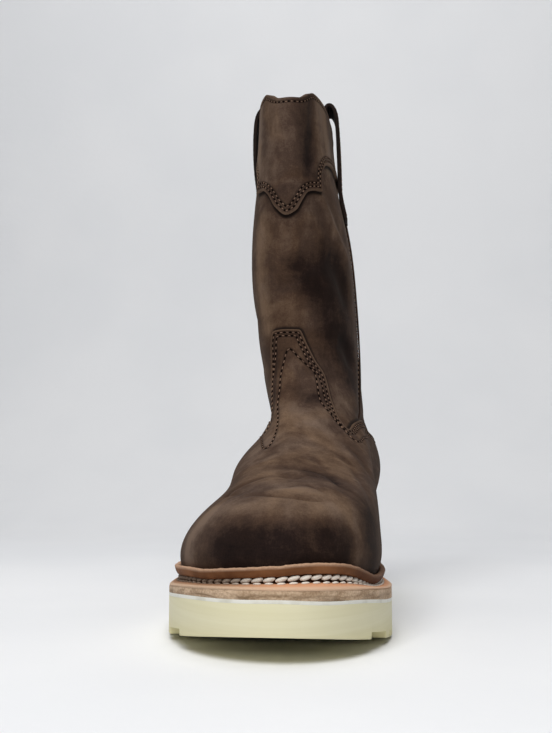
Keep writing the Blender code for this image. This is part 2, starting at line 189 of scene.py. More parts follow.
def side_x(loop, share, inner):
    """X of a loop's side at a share of the way from its front to its back."""
    fore = np.where(inner, loop.in_fore, loop.out_fore)
    mid = np.where(inner, loop.in_mid, loop.out_mid)
    rear = np.where(inner, loop.in_rear, loop.out_rear)
    fore_at = loop.fore_at + np.where(inner, -BALL_SLANT, BALL_SLANT) * loop.follow
    mid_at = (fore_at + loop.rear_at) / 2
    nose = loop.front_x + (fore - loop.front_x) * round_end(share / fore_at, loop.nose)
    heel = loop.back_x + (rear - loop.back_x) * round_end((1 - share) / (1 - loop.rear_at), HEEL_POWER)
    flank = np.where(
        share < mid_at,
        ease(fore, mid, (share - fore_at) / (mid_at - fore_at)),
        ease(mid, rear, (share - mid_at) / (loop.rear_at - mid_at)),
    )
    return np.where(share < fore_at, nose, np.where(share > loop.rear_at, heel, flank))


def last(turn, rise):
    """Points on the last, in millimetres."""
    turn, rise = np.broadcast_arrays(np.asarray(turn, float), np.asarray(rise, float))
    columns = spline(np.arange(len(UPPER_TABLE)), UPPER_TABLE, np.clip(rise, 0, RIM))
    loop = Loop(*np.moveaxis(columns, -1, 0))
    share = (1 - np.cos(2 * np.pi * turn)) / 2
    x = side_x(loop, share, turn % 1 < 0.5)
    y = loop.front_y + (loop.back_y - loop.front_y) * share
    level = loop.front_z + (loop.back_z - loop.front_z) * share
    straight = bed(loop.front_y) + (bed(loop.back_y) - bed(loop.front_y)) * share
    ears = loop.ears * ease(0, 1, share * (1 - share) / RIM_DIP)
    z = level + loop.follow * (bed(y) - straight) + ears
    return np.stack((x, y - SOLE_LENGTH / 2, z), axis=-1)


# %% Directions on the last, and the rise at a height
TURN_STEP = 0.002
RISE_STEP = 0.02
HALVINGS = 24


def unit(vectors):
    return vectors / np.linalg.norm(vectors, axis=-1, keepdims=True)


def last_frame(turn, rise):
    """How far the last moves for a step of turn and of rise, and its outward normal."""
    rise = np.asarray(rise, float)
    up_to, down_to = np.minimum(rise + RISE_STEP, RIM), np.maximum(rise - RISE_STEP, 0)
    along = (last(turn + TURN_STEP, rise) - last(turn - TURN_STEP, rise)) / (2 * TURN_STEP)
    up = (last(turn, up_to) - last(turn, down_to)) / (up_to - down_to)[..., None]
    return along, up, unit(np.cross(along, up))


def rise_at(turn, height):
    """The rise at which the last reaches a height, found by halving."""
    low = np.zeros(np.shape(turn))
    high = np.full(np.shape(turn), RIM)
    for _ in range(HALVINGS):
        middle = (low + high) / 2
        below = last(turn, middle)[..., 2] < height
        low = np.where(below, middle, low)
        high = np.where(below, high, middle)
    return (low + high) / 2


print("rim at the front and side, mm:", last(np.array([0, 0.25]), np.array([RIM, RIM]))[:, 2].round(1))

# %% [markdown]
# ## Creases and dents
# Nubuck that has stood in a box keeps soft creases across the toe, where it was pulled over the last,
# and wide dents in the shaft. Cloth simulation would put them anywhere, so each one is given: a path
# on the last, a depth in millimetres (minus for a trough) and a width. Every panel is moved by the same
# sum of creases, so the layers stay together.

# %% Table of creases: name, depth, width, path of turn and rise
Crease = namedtuple("Crease", "name depth width path")
CREASES = (
    Crease("toe fold, lower", -1.3, 1.9,
           ((-0.052, 3.42), (-0.03, 3.5), (-0.012, 3.46), (0.008, 3.4), (0.025, 3.3), (0.043, 3.22),
            (0.06, 3.24))),
    Crease("toe fold, swell", 0.9, 3.4, ((0.0, 3.66), (0.024, 3.76), (0.046, 3.58))),
    Crease("toe fold, upper", -0.8, 2.0, ((0.008, 3.9), (0.025, 4.14), (0.044, 3.9), (0.058, 3.5))),
    Crease("toe fold, outer", -0.85, 2.4, ((-0.105, 3.5), (-0.08, 3.58), (-0.056, 3.52))),
    Crease("instep pull, middle", -0.8, 2.6,
           ((-0.021, 5.34), (0.017, 5.14), (0.051, 4.84), (0.078, 4.1), (0.111, 3.34))),
    Crease("instep pull, inner", -0.7, 2.6, ((0.011, 6.14), (0.044, 5.54), (0.065, 4.66), (0.081, 3.64))),
    Crease("instep pull, outer", -0.85, 3.0, ((-0.029, 4.66), (-0.086, 3.94), (-0.104, 3.16))),
    Crease("instep ripple", -0.65, 2.2, ((-0.024, 5.1), (0.012, 4.52), (0.031, 4.74), (0.052, 4.5))),
    Crease("ball pull, front", -0.75, 3.0, ((0.069, 6.04), (0.096, 5.36), (0.116, 4.26), (0.129, 3.24))),
    Crease("ball pull, back", -0.65, 3.0, ((0.091, 6.42), (0.122, 5.58), (0.146, 4.54))),
    Crease("outer ankle pull", -0.9, 4.0, ((-0.021, 6.44), (-0.044, 5.84), (-0.069, 5.38))),
    Crease("instep hollow", -0.9, 6.0, ((0.024, 7.9), (0.052, 7.76), (0.079, 8.0))),
    Crease("collar trough", -1.3, 6.0, ((0.096, 13.9), (0.087, 13.28), (0.072, 12.78), (0.059, 12.3))),
    Crease("inner shaft dent", -3.0, 9.0, ((0.104, 11.26), (0.135, 11.06), (0.158, 10.74), (0.172, 10.38))),
    Crease("inner shaft ridge", 2.0, 5.0, ((0.094, 12.32), (0.118, 11.96), (0.147, 11.6), (0.195, 11.32))),
    Crease("inner shaft dent, low", -2.5, 8.0, ((0.123, 9.64), (0.155, 9.36), (0.161, 8.82))),
    Crease("outer tongue side", -0.9, 5.0, ((-0.045, 9.42), (-0.036, 9.0), (-0.054, 8.4))),
    Crease("heel break, low", -1.2, 5.0, ((0.40, 7.1), (0.45, 6.85), (0.5, 6.8), (0.55, 6.85), (0.60, 7.1))),
    Crease("heel break, high", -0.9, 5.0, ((0.43, 8.2), (0.5, 7.9), (0.57, 8.2))),
    Crease("outer ankle fold", -1.2, 5.0, ((0.66, 7.2), (0.74, 7.0), (0.83, 7.4), (0.88, 8.0))),
    Crease("outer shaft dent", -1.8, 10.0, ((0.70, 9.4), (0.78, 9.9), (0.84, 10.6))),
    Crease("inner ankle fold", -1.2, 5.0, ((0.15, 7.6), (0.22, 7.1), (0.30, 7.0), (0.36, 7.3))),
    Crease("back shaft dent", -1.8, 10.0, ((0.46, 10.0), (0.52, 10.6), (0.56, 11.3))),
)


# %% The worn surface: the last moved by its creases
CREASE_POINTS = 48
CREASE_REACH = 90.0
# A trough pushes up a low lip at each side, and a crease dies out with distance and at its ends.
CREASE_LIP = 0.45
CREASE_FALL = 0.7
CREASE_END = 0.6
END_SHARE = 0.02


def path_points(path, count):
    """Turn and rise along a smooth path through a few points."""
    points = np.array(path, float)
    step = np.linspace(0, len(points) - 1, count)
    return spline(np.arange(len(points)), points, step).T


crease_lines = [last(*path_points(crease.path, CREASE_POINTS)) for crease in CREASES]
crease_fade = np.sin(np.pi * np.linspace(END_SHARE, 1 - END_SHARE, CREASE_POINTS)) ** CREASE_END


def wear(points):
    """How far each point of the last is pushed out by the creases, in millimetres."""
    total = np.zeros(len(points))
    for crease, line in zip(CREASES, crease_lines):
        near = np.flatnonzero(np.linalg.norm(points - line.mean(0), axis=1) < CREASE_REACH)
        apart = np.linalg.norm(points[near, None] - line[None], axis=-1)
        nearest = apart.argmin(1)
        off = (apart[np.arange(len(near)), nearest] / crease.width) ** 2
        profile = (1 - CREASE_LIP * off) * np.exp(-CREASE_FALL * off)
        total[near] += crease.depth * profile * crease_fade[nearest]
    return total


def worn(turn, rise, out):
    """Points on the leather at a distance out from the last."""
    points = last(turn, rise)
    normal = last_frame(turn, rise)[2]
    return points + normal * (wear(points) + out)[:, None]


print("creases:", len(CREASES))

# %% [markdown]
# ## Edges of the panels and rows of stitches
# The vamp ends in a tall tongue on the shaft and the collar ends in a scallop. Both edges are tables of
# turn and height. Each stitch row runs beside an edge, so it is found by stepping sideways on the last
# and dropping the points that come too near the edge again, as happens inside a tight corner.

# %% Edge tables: turn, height above the floor
VAMP_EDGE = (
    (0.0, 167), (0.028, 166.8), (0.044, 157), (0.058, 147.5), (0.075, 139), (0.088, 121),
    (0.098, 111), (0.114, 105.2), (0.136, 109.5), (0.17, 112), (0.25, 112.5), (0.297, 111),
    (0.331, 106.5), (0.40, 103), (0.50, 102), (0.60, 103), (0.669, 106.5), (0.703, 111),
    (0.75, 112.5), (0.83, 112), (0.864, 109.5), (0.882, 105.2), (0.896, 110), (0.908, 117),
    (0.922, 128), (0.934, 148), (0.94, 159), (0.953, 166), (0.972, 166.8), (1.0, 167),
)
COLLAR_EDGE = (
    (0.0, 236.2), (0.025, 239), (0.044, 246.2), (0.058, 250.5), (0.08, 252.5), (0.1, 252.8),
    (0.112, 265), (0.142, 273), (0.19, 276), (0.265, 277), (0.34, 276), (0.388, 273), (0.418, 265),
    (0.43, 252.8), (0.45, 252.5), (0.472, 250), (0.5, 238), (0.528, 250), (0.55, 252.5), (0.57, 252.8),
    (0.582, 265), (0.612, 273), (0.66, 276), (0.735, 277), (0.8, 276), (0.84, 273), (0.868, 265),
    (0.88, 254.5), (0.911, 253.8), (0.936, 250.3), (0.967, 241.2), (1.0, 236.2),
)
# The vamp's ornamental row, an upside-down V on the tongue: turn, height.
ORNAMENT = (
    (-0.268, 101), (-0.2, 101.5), (-0.13, 100.5), (-0.092, 97.4), (-0.072, 94.2), (-0.056, 93.3),
    (-0.047, 97), (-0.044, 102.1), (-0.044, 112), (-0.044, 120.3), (-0.031, 129), (-0.025, 137.6),
    (-0.008, 148), (0.006, 154.5), (0.022, 150), (0.047, 142.4), (0.056, 137.8), (0.059, 129.3),
    (0.067, 119.6), (0.089, 110.5), (0.108, 102.5), (0.12, 98.6), (0.131, 97.6), (0.143, 98.4),
    (0.156, 100.4), (0.2, 101.5), (0.268, 101),
)


# %% Paths on the last
PATH_POINTS = 900
CORNER_SLACK = 0.15


def edge_path(edge, start, end, count):
    """Turn and rise along a panel's edge between two turns."""
    turn = np.linspace(start, end, count)
    return turn, rise_at(turn, steady(edge, turn % 1))


def run_along(points):
    """The distance of each point along a row of points, from the first one."""
    return np.concatenate(([0], np.cumsum(np.linalg.norm(np.diff(points, axis=0), axis=1))))


def even(turn, rise, count):
    """The same path with its points evenly spaced."""
    length = run_along(last(turn, rise))
    at = np.linspace(0, length[-1], count)
    return np.interp(at, length, turn), np.interp(at, length, rise)


def beside(turn, rise, inset):
    """The path moved sideways on the last, up for a plus inset, and trimmed in tight corners."""
    turn, rise = even(turn, rise, PATH_POINTS)
    points = last(turn, rise)
    along, up, normal = last_frame(turn, rise)
    sideways = np.cross(normal, unit(np.gradient(points, axis=0))) * inset
    # Two equations turn the sideways step into a step of turn and a step of rise.
    along_square, up_square, shared = ((p * q).sum(-1) for p, q in ((along, along), (up, up), (along, up)))
    on_along, on_up = (along * sideways).sum(-1), (up * sideways).sum(-1)
    bottom = along_square * up_square - shared * shared
    moved_turn = turn + (on_along * up_square - on_up * shared) / bottom
    moved_rise = np.clip(rise + (on_up * along_square - on_along * shared) / bottom, 0, RIM)
    apart = np.linalg.norm(last(moved_turn, moved_rise)[:, None] - points[None], axis=-1).min(1)
    kept = apart > abs(inset) - CORNER_SLACK
    return moved_turn[kept], moved_rise[kept]


vamp_line = edge_path(VAMP_EDGE, -SEAM_TURNS["inner"], SEAM_TURNS["inner"], count=1600)
counter_line = edge_path(VAMP_EDGE, SEAM_TURNS["inner"], SEAM_TURNS["outer"], count=800)
collar_line = edge_path(COLLAR_EDGE, 0, 1, count=2400)
foot_line = edge_path(VAMP_EDGE, 0, 1, count=2400)
rim_line = (np.linspace(0, 1, PATH_POINTS), np.full(PATH_POINTS, RIM))
ornament_turn, ornament_height = path_points(ORNAMENT, count=700)
ornament_line = (ornament_turn, rise_at(ornament_turn, ornament_height))
for name, line in (("vamp edge", vamp_line), ("collar edge", collar_line), ("ornament", ornament_line)):
    print(name, "is", round(run_along(last(*line))[-1]), "mm long")

# %% [markdown]
# ## Leather panels
# Each panel is one sheet cut from the last: a grid made by Blender, its corners placed by turn and
# rise. Solidify gives the leather its thickness and Bevel softens the cut edge. While the corners are
# placed, each one also stores how far it is from the edge, from the ornament and from the creases, and
# how the nap lies there together with the light and shade painted there, so that the finish can follow
# the surface without a picture.

# %% Where the nap is brushed pale or dark, and where light and shade are painted: width in mm, tone, path of turn and rise
Stroke = namedtuple("Stroke", "width tone path")
# Some strokes below are painted light and shade, not nap; each is marked.
NAP_AND_PAINTED_LIGHT = (
    Stroke(18, 0.14, ((-0.035, 13.4), (-0.03, 12.8))),
    Stroke(9, -0.16, ((0.045, 13.6), (0.05, 12.8))),
    Stroke(7, -0.12, ((0.074, 13.85), (0.07, 13.3), (0.058, 12.9), (0.062, 12.5))),
    Stroke(7, 0.34, ((0.114, 13.85), (0.12, 13.3), (0.124, 12.9))),
    # Painted light on the collar's right side, which faces away from the light.
    Stroke(9, 0.58, ((0.148, 13.9), (0.155, 13.5), (0.165, 13.2), (0.16, 12.9))),
    # Painted light on the collar's left side.
    Stroke(8, 0.62, ((-0.135, 13.9), (-0.14, 13.4), (-0.13, 12.7))),
    Stroke(6, 0.14, ((-0.064, 13.8), (-0.06, 13.1))),
    Stroke(14, 0.16, ((-0.03, 11.5), (0.01, 11.4))),
    # Painted shade on the inner side of the shaft, mixed with darker nap.
    Stroke(13, -0.40, ((0.03, 10.95), (0.06, 10.6))),
    Stroke(16, -0.34, ((0.085, 11.1), (0.115, 10.7), (0.14, 10.2))),
    Stroke(30, -0.15, ((0.12, 10.9), (0.17, 10.3), (0.2, 9.4))),
    # Painted light on the left edge of the shaft.
    Stroke(8, 0.46, ((-0.095, 11.7), (-0.1, 10.8), (-0.09, 10.0))),
    Stroke(11, 0.16, ((-0.03, 10.2), (0.05, 10.15))),
    # Painted shade low on the inner side of the shaft, mixed with darker nap.
    Stroke(15, -0.36, ((0.1, 9.6), (0.13, 9.2), (0.15, 8.6))),
    Stroke(7, -0.16, ((-0.055, 9.3), (-0.055, 8.4))),
    Stroke(12, 0.12, ((0.12, 7.9), (0.15, 7.7))),
    Stroke(9, -0.22, ((0.03, 8.0), (0.045, 7.8))),
    Stroke(9, 0.10, ((0.0, 8.6), (0.015, 8.9))),
    Stroke(12, 0.26, ((-0.01, 7.3), (0.03, 7.15))),
    Stroke(16, 0.31, ((-0.04, 6.3), (0.0, 6.1), (0.05, 6.3))),
    Stroke(10, 0.16, ((-0.05, 5.0), (-0.02, 4.4), (0.0, 4.0))),
    Stroke(7, -0.18, ((0.035, 4.95), (0.06, 4.6))),
    Stroke(8, 0.16, ((0.085, 5.4), (0.1, 4.6), (0.11, 3.8))),
    Stroke(8, -0.14, ((0.135, 5.6), (0.16, 4.4), (0.17, 3.2))),
    Stroke(6, 0.24, ((0.012, 3.6), (0.03, 3.75), (0.048, 3.6))),
    # A painted highlight along the toe's top edge.
    Stroke(8, 0.34, ((-0.09, 2.85), (-0.045, 2.9), (0.0, 2.95), (0.05, 2.95), (0.088, 2.85))),
    # Painted shade on the front of the toe, which faces away from the light.
    Stroke(10, -0.50, ((-0.048, 1.75), (-0.03, 1.8), (0.03, 1.8), (0.078, 1.7))),
    Stroke(10, -0.42, ((-0.042, 0.8), (0.0, 0.85), (0.075, 0.8))),
    # Painted light on the toe's left corner.
    Stroke(8, 0.64, ((-0.1, 2.4), (-0.112, 1.6), (-0.11, 0.9))),
    Stroke(5, 0.25, ((0.093, 2.3), (0.099, 1.7), (0.097, 1.1))),
    Stroke(10, -0.38, ((0.125, 2.6), (0.13, 1.6), (0.13, 0.8))),
    Stroke(24, -0.15, ((0.13, 2.4), (0.17, 1.6), (0.22, 1.4))),
    Stroke(18, 0.14, ((0.3, 10.5), (0.33, 9.6))),
    Stroke(18, -0.18, ((0.42, 9.2), (0.4, 8.2))),
    Stroke(20, 0.16, ((0.5, 11.8), (0.48, 10.6))),
    Stroke(18, 0.12, ((0.62, 9.2), (0.66, 8.2))),
    Stroke(18, -0.18, ((0.72, 11.4), (0.76, 10.2))),
    Stroke(14, 0.16, ((0.82, 8.8), (0.86, 7.8))),
    Stroke(20, -0.16, ((0.24, 4.4), (0.34, 3.8))),
    Stroke(20, 0.16, ((0.44, 3.4), (0.54, 3.2))),
    Stroke(20, -0.14, ((0.64, 4.2), (0.74, 3.2))),
)


# %% The tone of the nap and of the painted light and shade
nap_and_light_lines = [last(*path_points(stroke.path, count=30)) for stroke in NAP_AND_PAINTED_LIGHT]


def nap_and_light_tone(points):
    """The sum of all strokes at each point of the last."""
    total = np.zeros(len(points))
    for stroke, line in zip(NAP_AND_PAINTED_LIGHT, nap_and_light_lines):
        apart = np.linalg.norm(points[:, None] - line[None], axis=-1).min(1) / stroke.width
        total += stroke.tone * np.exp(-apart * apart)
    return total


# %% Signed distance from a line on the last
def off_line(points, line, count=2400):
    """Distance from a line in millimetres, plus above it and minus below."""
    turn, rise = even(*line, count)
    samples = last(turn, rise)
    above = np.cross(last_frame(turn, rise)[2], unit(np.gradient(samples, axis=0)))
    tree = KDTree(count)
    for i, sample in enumerate(samples):
        tree.insert(sample, i)
    tree.balance()
    found = np.array([tree.find(point)[1:] for point in points])
    nearest = found[:, 0].astype(int)
    side = ((points - samples[nearest]) * above[nearest]).sum(1)
    return np.where(side < 0, -found[:, 1], found[:, 1])


# %% Grids and pieces
WELD = 0.00005
BEVEL_ANGLE = math.radians(55)


def grid(columns, rows, place, values=None):
    """A grid whose corners go where place(column, row) says, with named values stored on them."""
    bm = bmesh.new()
    bmesh.ops.create_grid(bm, x_segments=len(columns) - 1, y_segments=len(rows) - 1, size=0.5)
    flat = np.array([vert.co for vert in bm.verts]) + 0.5
    column = np.asarray(columns)[np.rint(flat[:, 0] * (len(columns) - 1)).astype(int)]
    row = np.asarray(rows)[np.rint(flat[:, 1] * (len(rows) - 1)).astype(int)]
    for vert, point in zip(bm.verts, place(column, row)):
        vert.co = point * MM
    for name, store in (values or {}).items():
        layer = bm.verts.layers.float.new(name)
        for vert, value in zip(bm.verts, store(column, row)):
            vert[layer] = value
    return bm


def piece(name, bm, stands_for=()):
    """A smooth piece of the boot, riding on it and standing for CAD nodes."""
    mesh = bpy.data.meshes.new(name)
    bm.to_mesh(mesh)
    bm.free()
    mesh.polygons.foreach_set("use_smooth", np.ones(len(mesh.polygons), bool))
    made = bpy.data.objects.new(name, mesh)
    bpy.context.scene.collection.objects.link(made)
    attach(made, "root")
    if stands_for:
        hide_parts(*stands_for)
    return made


def thicken(made, thickness, side, round_edge):
    """Solidify a sheet and round its cut edge. The far side takes the next finish."""
    shell = made.modifiers.new("thickness", "SOLIDIFY")
    shell.thickness = thickness * MM
    shell.offset = side
    shell.use_even_offset = True
    shell.material_offset = 1
    bevel = made.modifiers.new("soft_edge", "BEVEL")
    bevel.width = round_edge * MM
    bevel.segments = 2
    bevel.limit_method = "ANGLE"
    bevel.angle_limit = BEVEL_ANGLE
    return made


# %% A leather panel between two levels of the last
ANKLE = 5.0
CUT_ROUND = 0.45


def level_rise(turn, level):
    """Levels 0 to 4 are the feather edge, ankle, vamp's edge, collar's edge and rim."""
    columns, back = np.unique(turn, return_inverse=True)
    vamp, collar = (rise_at(columns, steady(edge, columns % 1))[back] for edge in (VAMP_EDGE, COLLAR_EDGE))
    stops = (0.0, ANKLE, vamp, collar, RIM)
    rise = np.zeros_like(turn)
    for i, (start, end) in enumerate(zip(stops, stops[1:])):
        rise = rise + (end - start) * np.clip(level - i, 0, 1)
    return rise


def panel(name, node, turns, levels, out, thickness, side, lines):
    """A sheet of nubuck cut from the last, with its distances from some lines stored on it."""
    def place(turn, level):
        return worn(turn, level_rise(turn, level), out)

    def base(turn, level):
        return last(turn, level_rise(turn, level))

    values = {
        "nap": lambda turn, level: nap_and_light_tone(base(turn, level)),
        "fold": lambda turn, level: wear(base(turn, level)),
        "round": lambda turn, level: np.minimum(turn % 1, -turn % 1),
        "rise": level_rise,
    }
    for line_name, line in lines.items():
        values[line_name] = lambda turn, level, line=line: off_line(base(turn, level), line)
    bm = grid(turns, levels, place, values)
    if turns[-1] - turns[0] == 1:
        bmesh.ops.remove_doubles(bm, verts=bm.verts[:], dist=WELD)
    made = thicken(piece(name, bm, (node,)), thickness, side, CUT_ROUND)
    print(name, "has", len(made.data.polygons), "faces before its thickness")
    return made


# %% Cut the four panels
SEAM_ROOM = 0.0005
OVERLAY_FOOT = 0.048


def level_steps(*spans):
    """Levels from spans of start, end and count, where each span starts at the end of the one before."""
    return np.unique(np.concatenate([np.linspace(*span) for span in spans]))


shaft_levels = level_steps((0, 1, 22), (1, 2, 16), (2, 3, 90), (3, 4, 34))
shaft = panel("shaft_panel", "upper", np.linspace(0, 1, num=241), shaft_levels,
              out=0.0, thickness=WALL, side=-1,
              lines={"rim": rim_line, "collar_edge": collar_line, "foot_edge": foot_line})

vamp_reach = SEAM_TURNS["inner"] - SEAM_ROOM
vamp_levels = level_steps((OVERLAY_FOOT, 1, 96), (1, 2, 62))
vamp = panel("vamp_panel", "vamp", np.linspace(-vamp_reach, vamp_reach, num=241), vamp_levels,
             out=GAP, thickness=OVERLAY, side=1,
             lines={"edge": vamp_line, "ornament": ornament_line})

counter_levels = level_steps((OVERLAY_FOOT, 1, 44), (1, 2, 20))
counter_turns = np.linspace(SEAM_TURNS["inner"] + SEAM_ROOM, SEAM_TURNS["outer"] - SEAM_ROOM, num=121)
counter = panel("counter_panel", "counter", counter_turns, counter_levels,
                out=GAP, thickness=OVERLAY, side=1, lines={"edge": counter_line})

collar = panel("collar_panel", "collar", np.linspace(0, 1, num=289), np.linspace(3, 4, num=50),
               out=GAP, thickness=OVERLAY, side=1, lines={"edge": collar_line, "rim": rim_line})

# %% [markdown]
# ## Side seams and pull straps
# A raised strip covers the join of the front and back shaft panels, and a strap is sewn over it at each
# side, bent over the rim and sewn down again inside. Both are narrow grids with Solidify: the strip
# follows the last, and the strap follows a short table of heights and distances out from it.

# %% Strips over the side seams
SEAM_WIDTH = 4.0
SEAM_STRIP = 1.2
SEAM_ROUND = 0.4
SEAM_OUT = 0.5
SEAM_END = 1.5
SEAM_NAP = -0.2
STRAP_WIDTH = 25.0
STRAP = 2.4
STRAP_ROUND = 0.5
OUTER_SLACK = 0.45
# Heights at which the widths of the strip and of the strap are laid off.
SEAM_HEIGHT = 190.0
STRAP_HEIGHT = 290.0
# The strap's run from its outer end over the rim to its inner end: height, distance out.
STRAP_RUN = (
    (250, 1.5), (262, 1.5), (271, 2.2), (279, 3.5), (290, 4.8), (304, 5.5), (318, 5.2),
    (326, 3.4), (328.8, 0.6), (327, -2.2), (320, -3.8), (310, -3.9), (298, -3.8), (286, -3.8),
)


def turn_width(turn, height, width):
    """The share of a turn that a width covers at a height on the shaft."""
    rise = rise_at(np.array([turn]), np.array([height]))
    along = last_frame(np.array([turn]), rise)[0]
    return width / float(np.linalg.norm(along))


def side_seam(side):
    centre = SEAM_TURNS[side]
    half = turn_width(centre, SEAM_HEIGHT, SEAM_WIDTH) / 2
    foot = float(steady(VAMP_EDGE, centre))
    heights = np.linspace(foot + SEAM_END, STRAP_RUN[0][0] - SEAM_END, num=110)
    bm = grid(np.linspace(centre - half, centre + half, num=7), heights,
              lambda turn, height: worn(turn, rise_at(turn, height), SEAM_OUT),
              {"nap": lambda turn, height: nap_and_light_tone(last(turn, rise_at(turn, height))) + SEAM_NAP,
               "rise": rise_at})
    node = "side_seam_" + side
    return thicken(piece("side_seam_strip_" + side, bm, (node,)), SEAM_STRIP, 1, SEAM_ROUND)


seams = [side_seam(side) for side in SEAM_TURNS]


# %% Straps over the rim
def strap_place(turn, step):
    height, out = spline(np.arange(len(STRAP_RUN)), np.array(STRAP_RUN, float), step).T
    out = out + np.where(turn > 0.5, OUTER_SLACK, 0) * np.clip(out - STRAP_RUN[0][1], 0, None)
    rim = last(turn, np.full_like(turn, RIM))[:, 2]
    rise = rise_at(turn, np.minimum(height, rim))
    point = last(turn, rise) + last_frame(turn, rise)[2] * out[:, None]
    point[:, 2] = np.maximum(point[:, 2], height)
    return point


def pull_strap(side):
    centre = SEAM_TURNS[side]
    half = turn_width(centre, STRAP_HEIGHT, STRAP_WIDTH) / 2
    steps = np.linspace(0, len(STRAP_RUN) - 1, num=120)
    bm = grid(np.linspace(centre - half, centre + half, num=15), steps, strap_place,
              {"across": lambda turn, step: (turn - centre) / half})
    node = "pull_strap_" + side
    return thicken(piece("pull_strap_loop_" + side, bm, (node,)), STRAP, 0, STRAP_ROUND)


straps = [pull_strap(side) for side in SEAM_TURNS]
print("straps and strips:", [made.name for made in straps + seams])

# %% [markdown]
# ## Stitches
# A lockstitch shows as short bright lengths of thread with dark needle holes between them. There are
# over a thousand of each, so each is a small low sphere stretched along its row, and all stitches of a
# seam are one mesh. The hole spheres are near-black, painted shade for the recess of each hole. A curve
# with a bevel would be smoother but would not break at the holes. Blender's operators slow down as a
# mesh grows, so the spheres are made a few dozen at a time and then joined.

# %% Many small beads in one mesh
BATCH = 40


def bead_frames(places, directions, sizes):
    """Matrices that stretch a ball of size 1 by three sizes along three directions."""
    columns = [direction * size for direction, size in zip(directions, sizes)] + [places]
    for rows in np.stack(columns, axis=-1) * MM:
        yield Matrix((*rows.tolist(), (0, 0, 0, 1)))


def beads(matrices, around=6, along=4, finish=0):
    """A bmesh of stretched balls, all with one finish."""
    joined = bmesh.new()
    scratch = bpy.data.meshes.new("batch")
    matrices = list(matrices)
    for start in range(0, len(matrices), BATCH):
        bm = bmesh.new()
        for matrix in matrices[start:start + BATCH]:
            bmesh.ops.create_uvsphere(bm, u_segments=around, v_segments=along, radius=0.5, matrix=matrix)
        for face in bm.faces:
            face.material_index = finish
        bm.to_mesh(scratch)
        bm.free()
        joined.from_mesh(scratch)
    bpy.data.meshes.remove(scratch)
    return joined


def join(bms):
    """One bmesh from several."""
    scratch = bpy.data.meshes.new("part")
    joined = bmesh.new()
    for bm in bms:
        bm.to_mesh(scratch)
        bm.free()
        joined.from_mesh(scratch)
    bpy.data.meshes.remove(scratch)
    bmesh.ops.recalc_face_normals(joined, faces=joined.faces[:])
    return joined


# %% Threads and needle holes along a row
# Width and height in millimetres, then length as a share of the pitch.
THREAD = (0.65, 0.75, 0.52)
# The hole beads are near-black: painted shade for the recess of each needle hole.
HOLE_SHADE = (1.3, 0.5, 0.58)
QUARTERS = 4


def sewn_row(points, normal, pitch):
    """Thread and hole beads along points that lie a quarter of a pitch apart."""
    def row(start, width, height, share):
        middle = points[start::QUARTERS]
        ahead, behind = (points[start + step::QUARTERS][:len(middle)] for step in (1, -1))
        along = unit(ahead - behind)
        across = unit(np.cross(normal[start::QUARTERS], along))
        return bead_frames(middle, (across, np.cross(along, across), along), (width, height, share * pitch))

    return [beads(row(1, *THREAD)), beads(row(3, *HOLE_SHADE), finish=1)]


def stitch_piece(name, rows, out, pitch):
    parts = []
    for turn, rise in rows:
        count = round(run_along(last(turn, rise))[-1] / pitch)
        turn, rise = even(turn, rise, QUARTERS * count + 1)
        points = worn(turn, rise, np.full_like(turn, out))
        parts += sewn_row(points, last_frame(turn, rise)[2], pitch)
    made = piece(name, join(parts))
    print(name, "has", len(made.data.polygons), "faces")
    return made


# %% Sew the panels
# How far each row lies from its edge, then how far apart its stitches are.
VAMP_ROWS = (2.0, 4.2)
COLLAR_ROWS = (2.5, 4.8)
RIM_ROW = 2.6
SEAM_ROW = 1.1
VAMP_PITCH = 3.3
ORNAMENT_PITCH = 4.0
COLLAR_PITCH = 3.1
RIM_PITCH = 2.8
SEAM_ROW_END = 3.0
SEAM_ROW_OUT = 0.1
FACE = GAP + OVERLAY
vamp_rows = [beside(*vamp_line, -inset) for inset in VAMP_ROWS]
collar_rows = [beside(*collar_line, inset) for inset in COLLAR_ROWS]
counter_rows = [beside(*counter_line, -inset) for inset in VAMP_ROWS]
stitches = [
    stitch_piece("vamp_stitches", vamp_rows, FACE, VAMP_PITCH),
    stitch_piece("ornament_stitches", [ornament_line], FACE, ORNAMENT_PITCH),
    stitch_piece("collar_stitches", collar_rows, FACE, COLLAR_PITCH),
    stitch_piece("rim_stitches", [beside(*rim_line, -RIM_ROW)], FACE, RIM_PITCH),
    stitch_piece("counter_stitches", counter_rows, FACE, VAMP_PITCH),
]
for side, turn in SEAM_TURNS.items():
    reach = turn_width(turn, SEAM_HEIGHT, SEAM_WIDTH / 2 + SEAM_ROW)
    foot = float(steady(VAMP_EDGE, turn))
    heights = np.linspace(foot + SEAM_ROW_END, STRAP_RUN[0][0] - SEAM_ROW_END, num=60)
    turns = [np.full_like(heights, turn + step) for step in (-reach, reach)]
    rows = [(row_turn, rise_at(row_turn, heights)) for row_turn in turns]
    name = "side_seam_stitches_" + side
    stitches.append(stitch_piece(name, rows, SEAM_ROW_OUT, VAMP_PITCH))


# %% Sew the straps
STRAP_PITCH = 3.4
STRAP_ROW = 2.4
# The steps of the strap's run between which it is sewn.
STRAP_SEWN = (0.15, 8.5)


